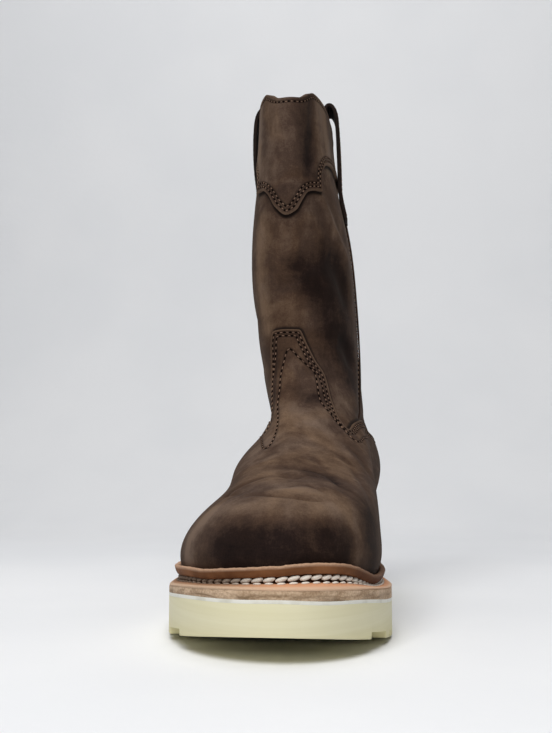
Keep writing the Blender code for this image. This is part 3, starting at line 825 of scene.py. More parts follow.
def strap_stitches(side):
    """Two rows near the strap's edges, from its outer end to the top of its loop."""
    centre = SEAM_TURNS[side]
    half = turn_width(centre, STRAP_HEIGHT, STRAP_WIDTH / 2 - STRAP_ROW)
    fine = np.linspace(*STRAP_SEWN, num=400)
    parts = []
    for turn in (centre - half, centre + half):
        length = run_along(strap_place(np.full_like(fine, turn), fine))
        count = round(length[-1] / STRAP_PITCH)
        steps = np.interp(np.linspace(0, length[-1], QUARTERS * count + 1), length, fine)
        points = strap_place(np.full_like(steps, turn), steps)
        aside = strap_place(np.full_like(steps, turn + 2 * TURN_STEP), steps) - points
        face = unit(np.cross(aside, np.gradient(points, axis=0)))
        parts += sewn_row(points + face * STRAP / 2, face, STRAP_PITCH)
    return piece("pull_strap_stitches_" + side, join(parts))


stitches += [strap_stitches(side) for side in SEAM_TURNS]

# %% [markdown]
# ## Welt and braid
# The welt is an L-shaped strip: a flange on the midsole and a lip that leans on the upper, with a
# groove between them. A thick braid lies in the groove and a second row of stitches holds the flange.
# The strip is a section swept round the feather edge, so it is a grid closed both ways, and the braid
# is a row of tilted lozenges, as twisted cord looks.

# %% Places beside the vamp
WELT_FLANGE = 0.9
WELT_LIP = 6.6
# How far the lip stands above or below its section round the boot: turn, millimetres.
LIP_WAVE = (
    (0.0, -0.6), (0.02, 0.4), (0.045, 1.0), (0.07, 0.8), (0.09, -0.4), (0.11, -2.5), (0.135, -4.4),
    (0.17, -3.0), (0.22, -0.8), (0.3, 0.0), (0.7, 0.0), (0.8, -0.3), (0.86, -0.9), (0.9, -1.6),
    (0.925, -2.4), (0.95, -1.9), (0.98, -1.2), (1.0, -0.6),
)


def beside_vamp(turn, height, out):
    """Points beside the vamp's face at a height on the welt's section, moved straight out."""
    lifted = np.clip((height - WELT_FLANGE) / (WELT_LIP - WELT_FLANGE), 0, 1)
    height = height + steady(LIP_WAVE, turn % 1) * lifted
    foot = last(turn, np.zeros_like(turn))
    rise = rise_at(turn, foot[:, 2] - GAP + height)
    run = last_frame(turn, rise)[0]
    sideways = unit(np.stack((run[:, 1], -run[:, 0], np.zeros_like(turn)), axis=-1))
    point = last(turn, rise) + sideways * (FACE + out)[:, None]
    point[:, 2] = bed(point[:, 1] + SOLE_LENGTH / 2) + height
    return point


# %% Sweep the welt
# Height above the midsole, distance out from the vamp's face.
WELT_SECTION = (
    (0.0, 0.5), (0.0, 5.0), (0.0, 9.7), (0.2, 9.95), (0.8, 9.8), (1.5, 8.8), (2.3, 6.9), (2.8, 5.2),
    (3.0, 4.0), (3.1, 2.6), (3.5, 1.7), (4.6, 1.3), (6.0, 1.4), (6.4, 2.0), (6.5, 3.0), (6.9, 3.5),
    (8.0, 3.7), (9.4, 3.7), (10.5, 3.6), (11.0, 3.2), (11.1, 2.4), (11.1, 1.4), (10.8, 0.7), (10.0, 0.5),
    (7.2, 0.5), (3.6, 0.5),
)
section = np.array(WELT_SECTION + WELT_SECTION[:1])
# The cut top of the lip is frayed: how far, where it starts and how soon it is full, and waves to a turn.
FRAY = 0.25
FRAY_START = 9.4
FRAY_SPAN = 1.2
FRAY_WAVES = (61, 97, 143, 211)
FRAY_SHIFT = 1.7


def section_height(turn, corner):
    return np.interp(corner, np.arange(len(section)), section[:, 0])


def section_out(turn, corner):
    return np.interp(corner, np.arange(len(section)), section[:, 1])


def ragged(turn):
    """The uneven top of the cut lip."""
    waves = [np.sin(2 * np.pi * wave * turn + FRAY_SHIFT * wave) for wave in FRAY_WAVES]
    return sum(waves) / len(waves)


def welt_place(turn, corner):
    height = section_height(turn, corner)
    frayed = FRAY * ragged(turn) * ease(0, 1, (height - FRAY_START) / FRAY_SPAN)
    return beside_vamp(turn, height + frayed, section_out(turn, corner))


corners = np.linspace(0, len(WELT_SECTION), 3 * len(WELT_SECTION) + 1)
bm = grid(np.linspace(0, 1, num=481), corners, welt_place, {"height": section_height, "out": section_out})
bmesh.ops.remove_doubles(bm, verts=bm.verts[:], dist=WELD)
bmesh.ops.smooth_vert(bm, verts=bm.verts[:], factor=0.25, use_axis_x=True, use_axis_y=True, use_axis_z=True)
bmesh.ops.recalc_face_normals(bm, faces=bm.faces[:])
welt = piece("welt_strip", bm, ("welt",))
print("welt faces:", len(welt.data.polygons))


# %% Lay the braid and the flange stitches
def round_welt(name, height, out, sizes, pitch, tilt, around):
    """A row of tilted lozenges round the boot, beside the vamp."""
    turn = np.linspace(0, 1, num=1201)
    points = beside_vamp(turn, np.full_like(turn, height), np.full_like(turn, out))
    length = run_along(points)
    count = round(length[-1] / pitch)
    marks = (np.arange(count) + 0.5) * length[-1] / count
    middle, ahead = (
        np.stack([np.interp(at % length[-1], length, points[:, k]) for k in range(3)], axis=-1)
        for at in (marks, marks + 1))
    along = unit(ahead - middle)
    upward = unit(np.array((0, 0, 1.0)) - along * along[:, 2:])
    along, across = (along * math.cos(tilt) + upward * math.sin(tilt),
                     upward * math.cos(tilt) - along * math.sin(tilt))
    outward = np.cross(along, across)
    bm = join([beads(bead_frames(middle, (outward, across, along), sizes), around, along=6)])
    print(name, "has", count, "lozenges round", round(length[-1]), "mm")
    return piece(name, bm)


CORD_PITCH = 5.4
braid = round_welt("welt_braid", height=5.1, out=2.5, sizes=(2.7, 2.4, 5.9), pitch=CORD_PITCH,
                   tilt=math.radians(13), around=8)
flange_row = round_welt("flange_stitches", height=3.1, out=4.7, sizes=(1.6, 1.2, 4.0), pitch=CORD_PITCH,
                        tilt=math.radians(2), around=6)

# %% [markdown]
# ## Sole layers
# Under the welt come a leather midsole, a thin white slip sole and the cream rubber wedge with its toe
# spring and cross grooves. Their outline is the same loop as the last's, so each layer is a grid two
# rows wide, extruded up to its top and bevelled along the outline.

# %% Grooves of the tread
TOE_SPRING = 12.3
SPRING_START = 108.0
SPRING_POWER = 1.6
LUG_DEPTH = 3.2
LUG_GROOVE = 4.6
LUG_DRAFT = 0.5
LUG_PITCH = 15.6
LUG_FIRST = 67.2
LUG_COUNT = 14
TOE_PAD = 36.0
TOE_GROOVE = 22.0
END_SWING = 0.012


def tread(behind):
    """The tread's height, lifted towards the toe."""
    lift = np.clip((SPRING_START - behind) / SPRING_START, 0, 1)
    return TOE_SPRING * lift ** SPRING_POWER


def grooves():
    """Where the tread's grooves start and end: a wide one behind the toe pad, then even ones."""
    starts = np.append(TOE_PAD, LUG_FIRST + LUG_PITCH * np.arange(LUG_COUNT))
    widths = np.append(TOE_GROOVE, np.full(LUG_COUNT, LUG_GROOVE))
    return starts, starts + widths


def lugs(behind, x):
    """The tread with its grooves cut up into it, the same all the way across."""
    starts, ends = grooves()
    inside = np.minimum(behind[:, None] - starts, ends - behind[:, None]).max(1)
    return tread(behind) + LUG_DEPTH * np.clip(inside / LUG_DRAFT, 0, 1)


def spread(count):
    """Distances that crowd together towards both round ends of the sole."""
    swing = np.linspace(END_SWING, np.pi - END_SWING, count)
    return SOLE_LENGTH * (1 - np.cos(swing)) / 2


print("grooves:", len(grooves()[0]), "from", TOE_PAD, "to", round(grooves()[1][-1], 1), "mm behind the toe")


# %% Build the layers
# How the trimmed joint leans and waves: slope, height of its waves, their lengths across and along.
JOINT_LEAN = 0.012
JOINT_WAVE = 0.22
WAVE_ACROSS = 7.0
WAVE_ALONG = 23.0
# An edge of a layer's rim is shorter, in metres, and bent more, in radians, than any other edge.
RIM_EDGE = 0.012
RIM_BEND = 0.8
SHARP_ANGLE = math.radians(40)
CORNER_ROOM = 0.25
SLIP_LIFT = 0.02
MIDSOLE_OVERLAP = 0.1


def joint(behind, x):
    """The wedge's top. It was trimmed by hand, so it lies lower on the inner side and waves a little."""
    wave = np.sin(x / WAVE_ACROSS + behind / WAVE_ALONG)
    return wedge_top(behind) - JOINT_LEAN * x + JOINT_WAVE * wave


def sole_layer(name, slot, distances, low, high, round_top, round_base):
    """A layer of the sole between two heights, with its rims rounded."""
    def place(behind, side):
        x = side_x(SOLE, behind / SOLE_LENGTH, side > 0)
        return np.stack((x, behind - SOLE_LENGTH / 2, low(behind, x)), axis=-1)

    bm = grid(distances, (-1, 1), place)
    level = bm.verts.layers.float.new("level")
    top = [item for item in bmesh.ops.extrude_face_region(bm, geom=bm.faces[:], use_keep_orig=True)["geom"]
           if isinstance(item, bmesh.types.BMVert)]
    flat = np.array([vert.co for vert in top]) / MM
    for vert, height in zip(top, high(flat[:, 1] + SOLE_LENGTH / 2, flat[:, 0])):
        vert.co.z = height * MM
        vert[level] = 1.0
    bmesh.ops.recalc_face_normals(bm, faces=bm.faces[:])
    raised = set(top)
    rims = [edge for edge in bm.edges if edge.calc_length() < RIM_EDGE and edge.calc_face_angle() > RIM_BEND
            and (edge.verts[0] in raised) == (edge.verts[1] in raised)]
    upper_rims = [edge for edge in rims if edge.verts[0] in raised]
    lower_rims = [edge for edge in rims if edge.verts[0] not in raised]
    for edges, width in ((upper_rims, round_top), (lower_rims, round_base)):
        bmesh.ops.bevel(bm, geom=edges, offset=width * MM, offset_type="OFFSET", affect="EDGES",
                        segments=3, profile=0.5, material=-1, clamp_overlap=True)
    made = piece(name, bm, (slot,))
    made.data.set_sharp_from_angle(angle=SHARP_ANGLE)
    print(name, "faces:", len(made.data.polygons))
    return made


outline = spread(360)
groove_ends = np.concatenate(grooves())
groove_corners = np.concatenate((groove_ends, grooves()[0] + LUG_DRAFT, grooves()[1] - LUG_DRAFT))
clear = np.abs(outline[:, None] - groove_corners).min(1) > CORNER_ROOM
tread_marks = np.sort(np.concatenate((outline[clear], groove_corners)))
wedge = sole_layer("wedge_sole", "outsole", tread_marks, lugs, joint, round_top=0.3, round_base=0.5)
slip = sole_layer("slip_sheet", "slip_sole", outline,
                  lambda behind, x: joint(behind, x) + SLIP_LIFT,
                  lambda behind, x: joint(behind, x) + SLIP_SOLE, round_top=0.3, round_base=0.2)
midsole = sole_layer("midsole_sheet", "midsole", outline,
                     lambda behind, x: joint(behind, x) + SLIP_SOLE - MIDSOLE_OVERLAP,
                     lambda behind, x: bed(behind), round_top=0.3, round_base=0.4)

# %% [markdown]
# ## Finishes
# Every finish is a Principled shader fed by noise in object space and by the values stored on the
# panels. Wiring dozens of maths nodes by hand is hard to read, so one small class wraps a socket and
# turns Python's + and * into Math nodes.

# %% Values and finishes
class Value:
    """A socket. Sums and products of values add Math nodes to their finish."""

    def __init__(self, finish, socket):
        self.finish = finish
        self.socket = socket

    def maths(self, operation, *terms):
        return self.finish.add("Math", {"operation": operation}, dict(enumerate(terms)))

    def __add__(self, other):
        return self.maths("ADD", self, other)

    def __sub__(self, other):
        return self.maths("SUBTRACT", self, other)

    def __rsub__(self, other):
        return self.maths("SUBTRACT", other, self)

    def __mul__(self, other):
        return self.maths("MULTIPLY", self, other)

    __radd__ = __add__
    __rmul__ = __mul__

    def step(self, start, end):
        """0 below start, 1 above end and a smooth step between."""
        return self.finish.add("MapRange", {"interpolation_type": "SMOOTHSTEP"},
                               {"Value": self, "From Min": start, "From Max": end})

    def near(self, at, inside, outside):
        """1 within one distance of a number and 0 beyond another."""
        apart = self - at
        return 1 - self.maths("ABSOLUTE", apart).step(inside, outside)


class Finish:
    """A material whose Principled shader is fed by values."""

    def __init__(self, name, **constants):
        self.material = bpy.data.materials.new(name)
        self.material.use_nodes = True
        self.tree = self.material.node_tree
        self.shader = self.tree.nodes["Principled BSDF"]
        for key, value in constants.items():
            self.shader.inputs[key.replace("_", " ").title().replace("Ior", "IOR")].default_value = value
        self.place = self.add("TexCoord", {}, {}, "Object")

    def add(self, kind, settings, sockets, output=0):
        """A node of one kind: its settings, then its sockets, then the output to read."""
        node = self.tree.nodes.new("ShaderNode" + kind)
        for key, value in settings.items():
            if key == "stops":
                while len(node.color_ramp.elements) < len(value):
                    node.color_ramp.elements.new(1)
                for element, (at, colour) in zip(node.color_ramp.elements, value):
                    element.position = at
                    element.color = (*colour, 1)
            else:
                setattr(node, key, value)
        for key, value in sockets.items():
            if isinstance(value, Value):
                self.tree.links.new(value.socket, node.inputs[key])
            else:
                node.inputs[key].default_value = value
        return Value(self, node.outputs[output])

    def noise(self, scale, detail=2.0, stretch=(1, 1, 1), shift=(0, 0, 0), rough=0.5, wander=0.0):
        place = self.add("Mapping", {}, {"Vector": self.place, "Scale": stretch, "Location": shift})
        return self.add("TexNoise", {}, {"Vector": place, "Scale": scale, "Detail": detail,
                                         "Roughness": rough, "Distortion": wander})

    def stored(self, name):
        return self.add("Attribute", {"attribute_name": name}, {}, "Fac")

    def ramp(self, value, stops):
        return self.add("ValToRGB", {"stops": stops}, {"Fac": value})

    def mix(self, factor, first, second, blend="MIX"):
        first = first if isinstance(first, Value) else (*first, 1)
        second = second if isinstance(second, Value) else (*second, 1)
        settings = {"data_type": "RGBA", "blend_type": blend}
        return self.add("Mix", settings, {0: factor, 6: first, 7: second}, 2)

    def axis(self, name):
        """One of the piece's own coordinates, in millimetres."""
        return self.add("SeparateXYZ", {}, {"Vector": self.place}, name) * (1 / MM)

    def finish(self, colour, roughness, height, depth):
        """Feed the shader: colour, roughness and a bump whose height of 1 is depth millimetres."""
        bump = self.add("Bump", {}, {"Height": height, "Distance": depth * MM, "Strength": 1.0})
        for key, value in (("Base Color", colour), ("Roughness", roughness), ("Normal", bump)):
            self.tree.links.new(value.socket, self.shader.inputs[key])
        return self.material


# %% [markdown]
# ## Nubuck
# Nubuck is leather sanded to a short nap. Brushing the nap one way makes it pale and the other way dark,
# so its colour is a sum of wide clouds, brush strokes, the placed patches and a fine grain. Some placed
# patches are painted light and shade, and the creases are painted darker in their troughs and paler on
# their ridges. Cut edges are paler, partly the hide's paler inside and partly a painted highlight where
# the rounded edge catches light. Under each stitch row the needle holes and the shade of the furrow are
# painted as one dark band, and a painted shadow lies on the shaft beside the edges sewn over it.

# %% Mix the nubuck
NUBUCK_BLACK = (0.0070, 0.0036, 0.0031)
NUBUCK_DARK = (0.0160, 0.0084, 0.0066)
NUBUCK_MID = (0.064, 0.0380, 0.0262)
NUBUCK_PALE = (0.158, 0.106, 0.074)
GREY_TINT = (0.95, 0.965, 1.0)
WARM_TINT = (1.0, 0.945, 0.85)
FOLD_LIMIT = 1.3
TONE_FLOOR = 0.3
PULL_BEND = 0.0012
# How fast the noise of the pulls runs up the boot, along their bow, round the boot and across it.
PULL_RATES = (3.4, 50, 16, 0.014)
# The rises between which the pulls come in above the toe and die out below the shaft.
PULLS_START = (2.6, 3.6)
PULLS_END = (6.0, 8.5)
CUT_EDGE_AND_HIGHLIGHT = (0.125, 0.080, 0.052)
NEEDLE_DARK_AND_SHADE = (0.012, 0.007, 0.006)
PAINTED_EDGE_SHADOW = (0.007, 0.004, 0.0035)


def nubuck(name, rows=(), cut="edge", shadow_edges=()):
    """Rows pairs a stored distance with the insets of its stitch rows, minus below the line.

    Cut names the distance from a cut edge; the last argument names the distances from edges that lie over
    this panel, beside which a painted shadow is laid.
    """
    made = Finish(name, specular_ior_level=0.10, sheen_weight=0.03, sheen_roughness=0.5,
                  sheen_tint=(0.60, 0.45, 0.34, 1))
    clouds = made.noise(scale=17, detail=4, wander=0.8)
    strokes = made.noise(scale=1, detail=6, stretch=(130, 130, 30), shift=(3, 1, 2), rough=0.66)
    cross_strokes = made.noise(scale=1, detail=6, stretch=(38, 38, 150), shift=(1, 4, 2), rough=0.66)
    smears = made.noise(scale=48, detail=5, shift=(0.4, 0.2, 0.7), rough=0.6, wander=1.6)
    grain = made.noise(scale=1300, detail=3)
    pores = made.noise(scale=420, detail=2, shift=(0.1, 0.3, 0.2))
    rise, around = made.stored("rise"), made.stored("round")
    bowed = around * around + PULL_BEND
    bowed = bowed.maths("SQRT", bowed)
    up_rate, bow_rate, round_rate, across_rate = PULL_RATES
    pulls_at = made.add("CombineXYZ", {}, {"X": rise * up_rate + bowed * bow_rate, "Y": around * round_rate,
                                           "Z": made.axis("X") * across_rate})
    pulls = made.add("TexNoise", {}, {"Vector": pulls_at, "Scale": 1.0, "Detail": 5.0, "Roughness": 0.62,
                                      "Distortion": 0.4})
    pulls = (pulls - 0.5) * (1 - rise.step(*PULLS_END)) * rise.step(*PULLS_START)
    # The creases are painted too: their troughs darker as painted shade and their ridges paler as painted
    # light, added to the nap with its painted light and shade.
    fold = made.stored("fold")
    fold = fold.maths("MINIMUM", fold.maths("MAXIMUM", fold, -FOLD_LIMIT), FOLD_LIMIT)
    tone = made.stored("nap") + pulls * 0.6 + fold * 0.2 + 0.5
    for layer, weight in ((clouds, 0.6), (strokes, 0.6), (cross_strokes, 0.45), (smears, 0.7),
                          (grain, 0.36), (pores, 0.22)):
        tone = tone + (layer - 0.5) * weight
    shades = ((0.0, NUBUCK_BLACK), (0.24, NUBUCK_DARK), (0.615, NUBUCK_MID), (1.0, NUBUCK_PALE))
    colour = made.ramp((tone + TONE_FLOOR) * (1 / (1 + TONE_FLOOR)), shades)
    hue = made.noise(scale=30, detail=4, shift=(2, 5, 1), wander=0.7).step(0.36, 0.64)
    colour = made.mix(1.0, colour, made.mix(hue, GREY_TINT, WARM_TINT), "MULTIPLY")
    height = grain * 0.5 + pores * 0.35 + strokes * 0.5 + pulls * 3
    # Cut edges are paler: partly the hide's paler inside, partly a painted highlight where the rounded edge
    # catches light.
    if cut:
        edge = made.stored(cut)
        colour = made.mix(edge.near(0, inside=0.3, outside=1.3) * 0.5, colour, CUT_EDGE_AND_HIGHLIGHT)
    # Each row's furrow is a dark band: needle holes and painted shade in the sunken furrow.
    for stored, insets in rows:
        distance = made.stored(stored)
        for inset in insets:
            furrow = distance.near(inset, inside=0.3, outside=1.5)
            colour = made.mix(furrow * 0.5, colour, NEEDLE_DARK_AND_SHADE)
            height = height - furrow * 3
    # A painted shadow on this panel beside the edges of the panels that lie over it.
    for stored in shadow_edges:
        colour = made.mix(made.stored(stored).near(0, inside=0.9, outside=3.0) * 0.9, colour, PAINTED_EDGE_SHADOW)
    return made.finish(colour, 0.86 + (smears - 0.5) * 0.12, height, depth=0.11)


# %% Line the shaft and dress the panels
LINING_DARK = (0.155, 0.125, 0.102)
LINING_PALE = (0.270, 0.230, 0.195)
lining = Finish("shaft_lining", specular_ior_level=0.25, sheen_weight=0.1)
lining_grain = lining.noise(scale=900, detail=2)
lining_cloud = lining.noise(scale=40, detail=3)
lining_colour = lining.mix(lining_cloud, LINING_DARK, LINING_PALE)
lining.finish(lining_colour, 0.85 + lining_grain * 0.1, lining_grain, depth=0.1)

foot_insets = [-inset for inset in VAMP_ROWS]
# The shaft gets a painted shadow below the collar's edge and beside the vamp's and counter's edges.
for made, name, rows, cut, shadow_edges in (
    (shaft, "shaft_nubuck", (), "rim", ("collar_edge", "foot_edge")),
    (vamp, "vamp_nubuck", (("edge", foot_insets), ("ornament", [0.0])), "edge", ()),
    (counter, "counter_nubuck", (("edge", foot_insets),), "edge", ()),
    (collar, "collar_nubuck", (("edge", COLLAR_ROWS), ("rim", [-RIM_ROW])), "edge", ()),
):
    made.data.materials.append(nubuck(name, rows, cut, shadow_edges))
    made.data.materials.append(lining.material)
seam_nubuck = nubuck("seam_nubuck", (), None)
for made in seams:
    made.data.materials.append(seam_nubuck)
print("nubuck finishes:", [m.name for m in bpy.data.materials if "nubuck" in m.name])


# %% Thread, straps and insole
def speckled(name, dark, pale, scale, rough, depth, **constants):
    """A finish that wanders between two colours, with a grain of the same size."""
    made = Finish(name, **constants)
    coarse = made.noise(scale=scale, detail=3)
    fine = made.noise(scale=scale * 7, detail=2)
    colour = made.ramp(coarse * 0.7 + fine * 0.3, ((0.3, dark), (0.7, pale)))
    return made.finish(colour, rough + (fine - 0.5) * 0.15, fine * 0.6 + coarse * 0.4, depth)


thread = speckled("brown_thread", dark=(0.060, 0.034, 0.022), pale=(0.300, 0.185, 0.125),
                  scale=160, rough=0.7, depth=0.12, specular_ior_level=0.15)
# Near-black beads: painted shade in the needle holes.
needle_hole_shade = speckled("needle_hole_shade", dark=(0.003, 0.002, 0.0015), pale=(0.008, 0.005, 0.004),
                       scale=300, rough=0.9, depth=0.1, specular_ior_level=0.0)
strap_leather = speckled("strap_leather", dark=(0.007, 0.0045, 0.004), pale=(0.024, 0.015, 0.012),
                         scale=90, rough=0.85, depth=0.12, specular_ior_level=0.1)
insole_leather = speckled("insole_leather", dark=(0.24, 0.15, 0.09), pale=(0.40, 0.27, 0.17),
                          scale=60, rough=0.7, depth=0.15)
for made in stitches:
    made.data.materials.append(thread)
    made.data.materials.append(needle_hole_shade)
for made in straps:
    made.data.materials.append(strap_leather)
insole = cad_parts["insole"]
insole.data.materials.clear()
insole.data.materials.append(insole_leather)

# %% [markdown]
# ## Welt, braid and midsole
# The welt is tan leather. Its lip is rubbed to a deep tan and darker on the inner side, its flange is
# skived thin and paler, darker towards the outer side, and its cut top is rough and pale. The groove
# under the braid is painted as shade. The braid is off-white cord, darker on the outer side, which is
# painted shade under the lip there broken up by noise, with painted shade between its twists. The
# midsole edge is sanded leather, so it is pale, fuzzy and streaked along its layers. Each colour starts
# as two shades mixed by noise, and other shades are laid over it by place.

# %% Welt leather
LIP_DEEP = (0.112, 0.042, 0.015)
LIP_TAN = (0.245, 0.104, 0.042)
LIP_INNER_DARK = (0.070, 0.026, 0.011)
LIP_TOP = (0.56, 0.36, 0.24)
FLANGE_DEEP = (0.50, 0.215, 0.105)
FLANGE_PALE = (0.78, 0.43, 0.255)
FLANGE_OUTER_DARK = (0.34, 0.185, 0.105)
FLANGE_EDGE = (0.60, 0.435, 0.305)
GROOVE_SHADE = (0.075, 0.033, 0.018)
welt_finish = Finish("welt_tan_leather", specular_ior_level=0.12)
height, out = welt_finish.stored("height"), welt_finish.stored("out")
streaks = welt_finish.noise(scale=1, detail=3, stretch=(90, 90, 500))
blotch = welt_finish.noise(scale=55, detail=4)
fibre = welt_finish.noise(scale=1100, detail=3)
inward = welt_finish.axis("X")
# The lip is darker towards the inner side.
inner_dark = inward.step(30, 54) * 0.8
lip = welt_finish.mix(blotch.step(0.3, 0.7), LIP_DEEP, LIP_TAN)
lip = welt_finish.mix(inner_dark, lip, LIP_INNER_DARK)
flange = welt_finish.mix(streaks * 0.5 + blotch * 0.5, FLANGE_DEEP, FLANGE_PALE)
# The flange is darker towards the outer side.
flange = welt_finish.mix(inward.step(-22, 14), FLANGE_OUTER_DARK, flange)
flange = welt_finish.mix(out.step(7.0, 9.2) * (0.45 + fibre * 0.6), flange, FLANGE_EDGE)
colour = welt_finish.mix(height.step(3.1, 4.0), flange, lip)
top = height.step(9.2, 10.5) * (0.4 + fibre * 0.6) * (1 - inner_dark)
colour = welt_finish.mix(top, colour, LIP_TOP)
# Painted shade in the groove under the braid.
groove = height.near(4.4, inside=0.65, outside=2.6) * (1 - out.step(2.6, 3.4))
colour = welt_finish.mix(groove, colour, GROOVE_SHADE)
welt.data.materials.append(welt_finish.finish(colour, 0.62 + fibre * 0.2, fibre + top * 2, depth=0.14))

# %% Braid cord
CORD_SOILED_AND_SHADED = (0.20, 0.140, 0.100)
CORD_CLEAN = (0.86, 0.79, 0.70)
CORD_SHADE = (0.30, 0.23, 0.17)
braid_finish = Finish("braid_cord", specular_ior_level=0.3)
twist = braid_finish.noise(scale=1, detail=2, stretch=(700, 700, 2400))
soil = braid_finish.noise(scale=70, detail=3)
# Darker towards the outer side: painted shade under the lip there, broken up by noise.
lit_and_clean = braid_finish.axis("X").step(-30, 16) * 0.85 + (soil - 0.5) * 0.5
colour = braid_finish.mix(lit_and_clean.step(0.0, 0.9), CORD_SOILED_AND_SHADED, CORD_CLEAN)
colour = braid_finish.mix(twist.step(0.5, 0.8) * 0.35, colour, CORD_SHADE)
braid_material = braid_finish.finish(colour, 0.7 + twist * 0.15, twist, depth=0.35)
braid.data.materials.append(braid_material)
flange_row.data.materials.append(braid_material)

# %% Midsole edge
EDGE_DARK = (0.33, 0.215, 0.126)
EDGE_PALE = (0.64, 0.470, 0.325)
EDGE_RUBBED = (0.175, 0.108, 0.055)
EDGE_SANDED = (0.62, 0.475, 0.345)
edge_finish = Finish("midsole_edge_leather", specular_ior_level=0.12, sheen_weight=0.05)
layers = edge_finish.noise(scale=1, detail=5, stretch=(50, 50, 600), rough=0.6)
patches = edge_finish.noise(scale=45, detail=4, shift=(0.2, 0.5, 0.1))
fuzz = edge_finish.noise(scale=1000, detail=4)
tufts = edge_finish.noise(scale=1, detail=4, stretch=(150, 150, 420), shift=(0.3, 0.1, 0.6), wander=0.8)
smear = edge_finish.noise(scale=1, detail=5, stretch=(34, 34, 190), shift=(2, 3, 1), rough=0.62, wander=1.2)
sanded = layers * 0.25 + fuzz * 0.35 + tufts * 0.4
colour = edge_finish.mix(sanded.step(0.35, 0.62), EDGE_DARK, EDGE_PALE)
lower = 1 - edge_finish.stored("level").step(0.3, 0.85)
rubbed = smear.step(0.40, 0.62) * (0.5 + tufts * 0.6) * lower
colour = edge_finish.mix(rubbed, colour, EDGE_RUBBED)
colour = edge_finish.mix(patches.step(0.5, 0.7) * 0.4, colour, EDGE_SANDED)
midsole.data.materials.append(edge_finish.finish(colour, 0.88 + fuzz * 0.1, fuzz + tufts * 2, depth=0.35))

# %% [markdown]
# ## Rubber
# The wedge is foamed rubber, cream and a little yellower low on the wall and in the grooves. The slip
# sole is a whiter sheet whose cut edge is slightly uneven.

# %% Wedge and slip sole
CREAM_DULL = (0.715, 0.672, 0.445)
CREAM_BRIGHT = (0.775, 0.738, 0.525)
CREAM_YELLOW = (0.70, 0.63, 0.28)
SLIP_WHITE = (0.80, 0.79, 0.72)
SLIP_SMUDGED = (0.66, 0.64, 0.55)
wedge_finish = Finish("cream_wedge_rubber", specular_ior_level=0.4)
scuff = wedge_finish.noise(scale=1, detail=4, stretch=(6, 6, 380))
mottle = wedge_finish.noise(scale=35, detail=3)
speck = wedge_finish.noise(scale=900, detail=2)
worn_face = (scuff * 0.7 + mottle * 0.3).step(0.3, 0.7)
colour = wedge_finish.mix(worn_face, CREAM_DULL, CREAM_BRIGHT)
colour = wedge_finish.mix((1 - wedge_finish.axis("Z").step(2.0, 17.0)) * 0.5, colour, CREAM_YELLOW)
wedge.data.materials.append(wedge_finish.finish(colour, 0.5 + scuff * 0.18, speck * 0.4 + scuff, depth=0.08))

slip_finish = Finish("white_slip_rubber", specular_ior_level=0.4)
smudge = slip_finish.noise(scale=120, detail=3)
colour = slip_finish.mix(smudge.step(0.45, 0.75), SLIP_WHITE, SLIP_SMUDGED)
slip.data.materials.append(slip_finish.finish(colour, 0.55 + smudge * 0.1, smudge, depth=0.1))
print("finishes:", len(bpy.data.materials))

# %% [markdown]
# ## Stage
# A pale floor runs up into a wall with no corner, as a photographer's paper sweep does. It starts as a
# grid of one face: its back edge is extruded up and the fold is bevelled round.

# %% Paper sweep
# Sizes of the stage, in metres.
SWEEP_REACH = 3.0
WALL_BEHIND = 1.1
WALL_HEIGHT = 3.0
SWEEP_ROUND = 0.5
PAPER_COOL = (0.80, 0.812, 0.835)
PAPER_PALE = (0.84, 0.848, 0.866)
bm = bmesh.new()
bmesh.ops.create_grid(bm, x_segments=1, y_segments=1, size=SWEEP_REACH)
back = [edge for edge in bm.edges if all(vert.co.y > 0 for vert in edge.verts)]
for vert in back[0].verts:
    vert.co.y = WALL_BEHIND
raised = bmesh.ops.extrude_edge_only(bm, edges=back)["geom"]
wall_top = [item for item in raised if isinstance(item, bmesh.types.BMVert)]
bmesh.ops.translate(bm, vec=(0, 0, WALL_HEIGHT), verts=wall_top)
bmesh.ops.bevel(bm, geom=back, offset=SWEEP_ROUND, offset_type="OFFSET", affect="EDGES", segments=16,
                profile=0.5, material=-1)
sweep_mesh = bpy.data.meshes.new("paper_sweep")
bm.to_mesh(sweep_mesh)
bm.free()
sweep_mesh.polygons.foreach_set("use_smooth", np.ones(len(sweep_mesh.polygons), bool))
sweep = bpy.data.objects.new("paper_sweep", sweep_mesh)
bpy.context.scene.collection.objects.link(sweep)
paper = Finish("pale_paper", specular_ior_level=0.2)
paper_cloud = paper.noise(scale=4, detail=3)
paper_fibre = paper.noise(scale=90, detail=4)
paper_colour = paper.mix(paper_cloud.step(0.3, 0.7), PAPER_COOL, PAPER_PALE)
sweep_mesh.materials.append(paper.finish(paper_colour, 0.72 + paper_fibre * 0.06, paper_fibre, depth=0.25))

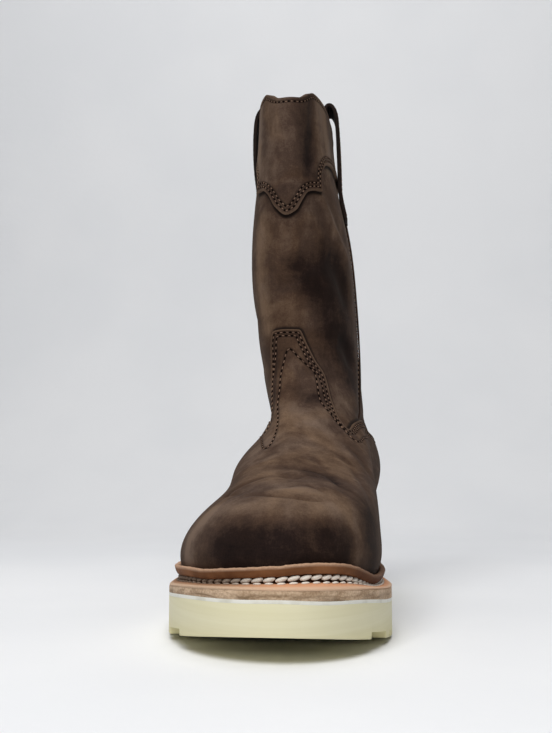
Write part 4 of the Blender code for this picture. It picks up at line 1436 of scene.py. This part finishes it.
# %% [markdown]
# ## Light and camera
# A wide softbox stands high in front, a little to the left, and a weaker one hangs overhead. The room
# adds a faint fill, so the toe's top is bright and the floor under the toe stays dark. The camera stands
# low in front of the toes, tipped up a little and turned to put the boot in the middle of the frame.

# %% Lights
def area_light(name, place, target, size, power, colour):
    data = bpy.data.lights.new(name, "AREA")
    data.shape = "RECTANGLE"
    data.size, data.size_y = size
    data.energy = power
    data.color = colour
    lamp = bpy.data.objects.new(name, data)
    lamp.location = place
    lamp.rotation_euler = (Vector(target) - Vector(place)).to_track_quat("-Z", "Y").to_euler()
    bpy.context.scene.collection.objects.link(lamp)
    return lamp


area_light("softbox", place=(-0.12, -1.15, 1.55), target=(0, -0.05, 0.1), size=(1.3, 1.0),
           power=32.5, colour=(1.0, 0.99, 0.975))
area_light("overhead", place=(-0.1, 0.1, 1.8), target=(0, 0.05, 0), size=(1.4, 1.4),
           power=9, colour=(0.99, 0.995, 1.0))
room = bpy.data.worlds.new("room")
room.use_nodes = True
fill = room.node_tree.nodes["Background"]
fill.inputs["Color"].default_value = (0.93, 0.96, 1.0, 1)
fill.inputs["Strength"].default_value = 0.05
bpy.context.scene.world = room
bpy.context.scene.view_settings.view_transform = "Standard"

# %% Camera
# The lens, the frame and the row of the horizon are in pixels of the photo, the film in millimetres.
LENS_PIXELS = 1000.0
FRAME_HEIGHT = 733.0
HORIZON = 464.4
FILM = 36.0
CAMERA_AT = (0.059, -0.587, 0.086)
CAMERA_TURN = math.radians(6.6)
camera_data = bpy.data.cameras.new("photo_angle")
camera_data.lens = FILM * LENS_PIXELS / FRAME_HEIGHT
camera_data.sensor_width = FILM
camera = bpy.data.objects.new("photo_angle", camera_data)
camera.location = CAMERA_AT
tip = math.atan((HORIZON - FRAME_HEIGHT / 2) / LENS_PIXELS)
camera.rotation_euler = (math.pi / 2 + tip, 0, CAMERA_TURN)
bpy.context.scene.collection.objects.link(camera)
bpy.context.scene.camera = camera
print("lens", round(camera_data.lens, 2), "mm, tipped up", round(math.degrees(tip), 2), "degrees")
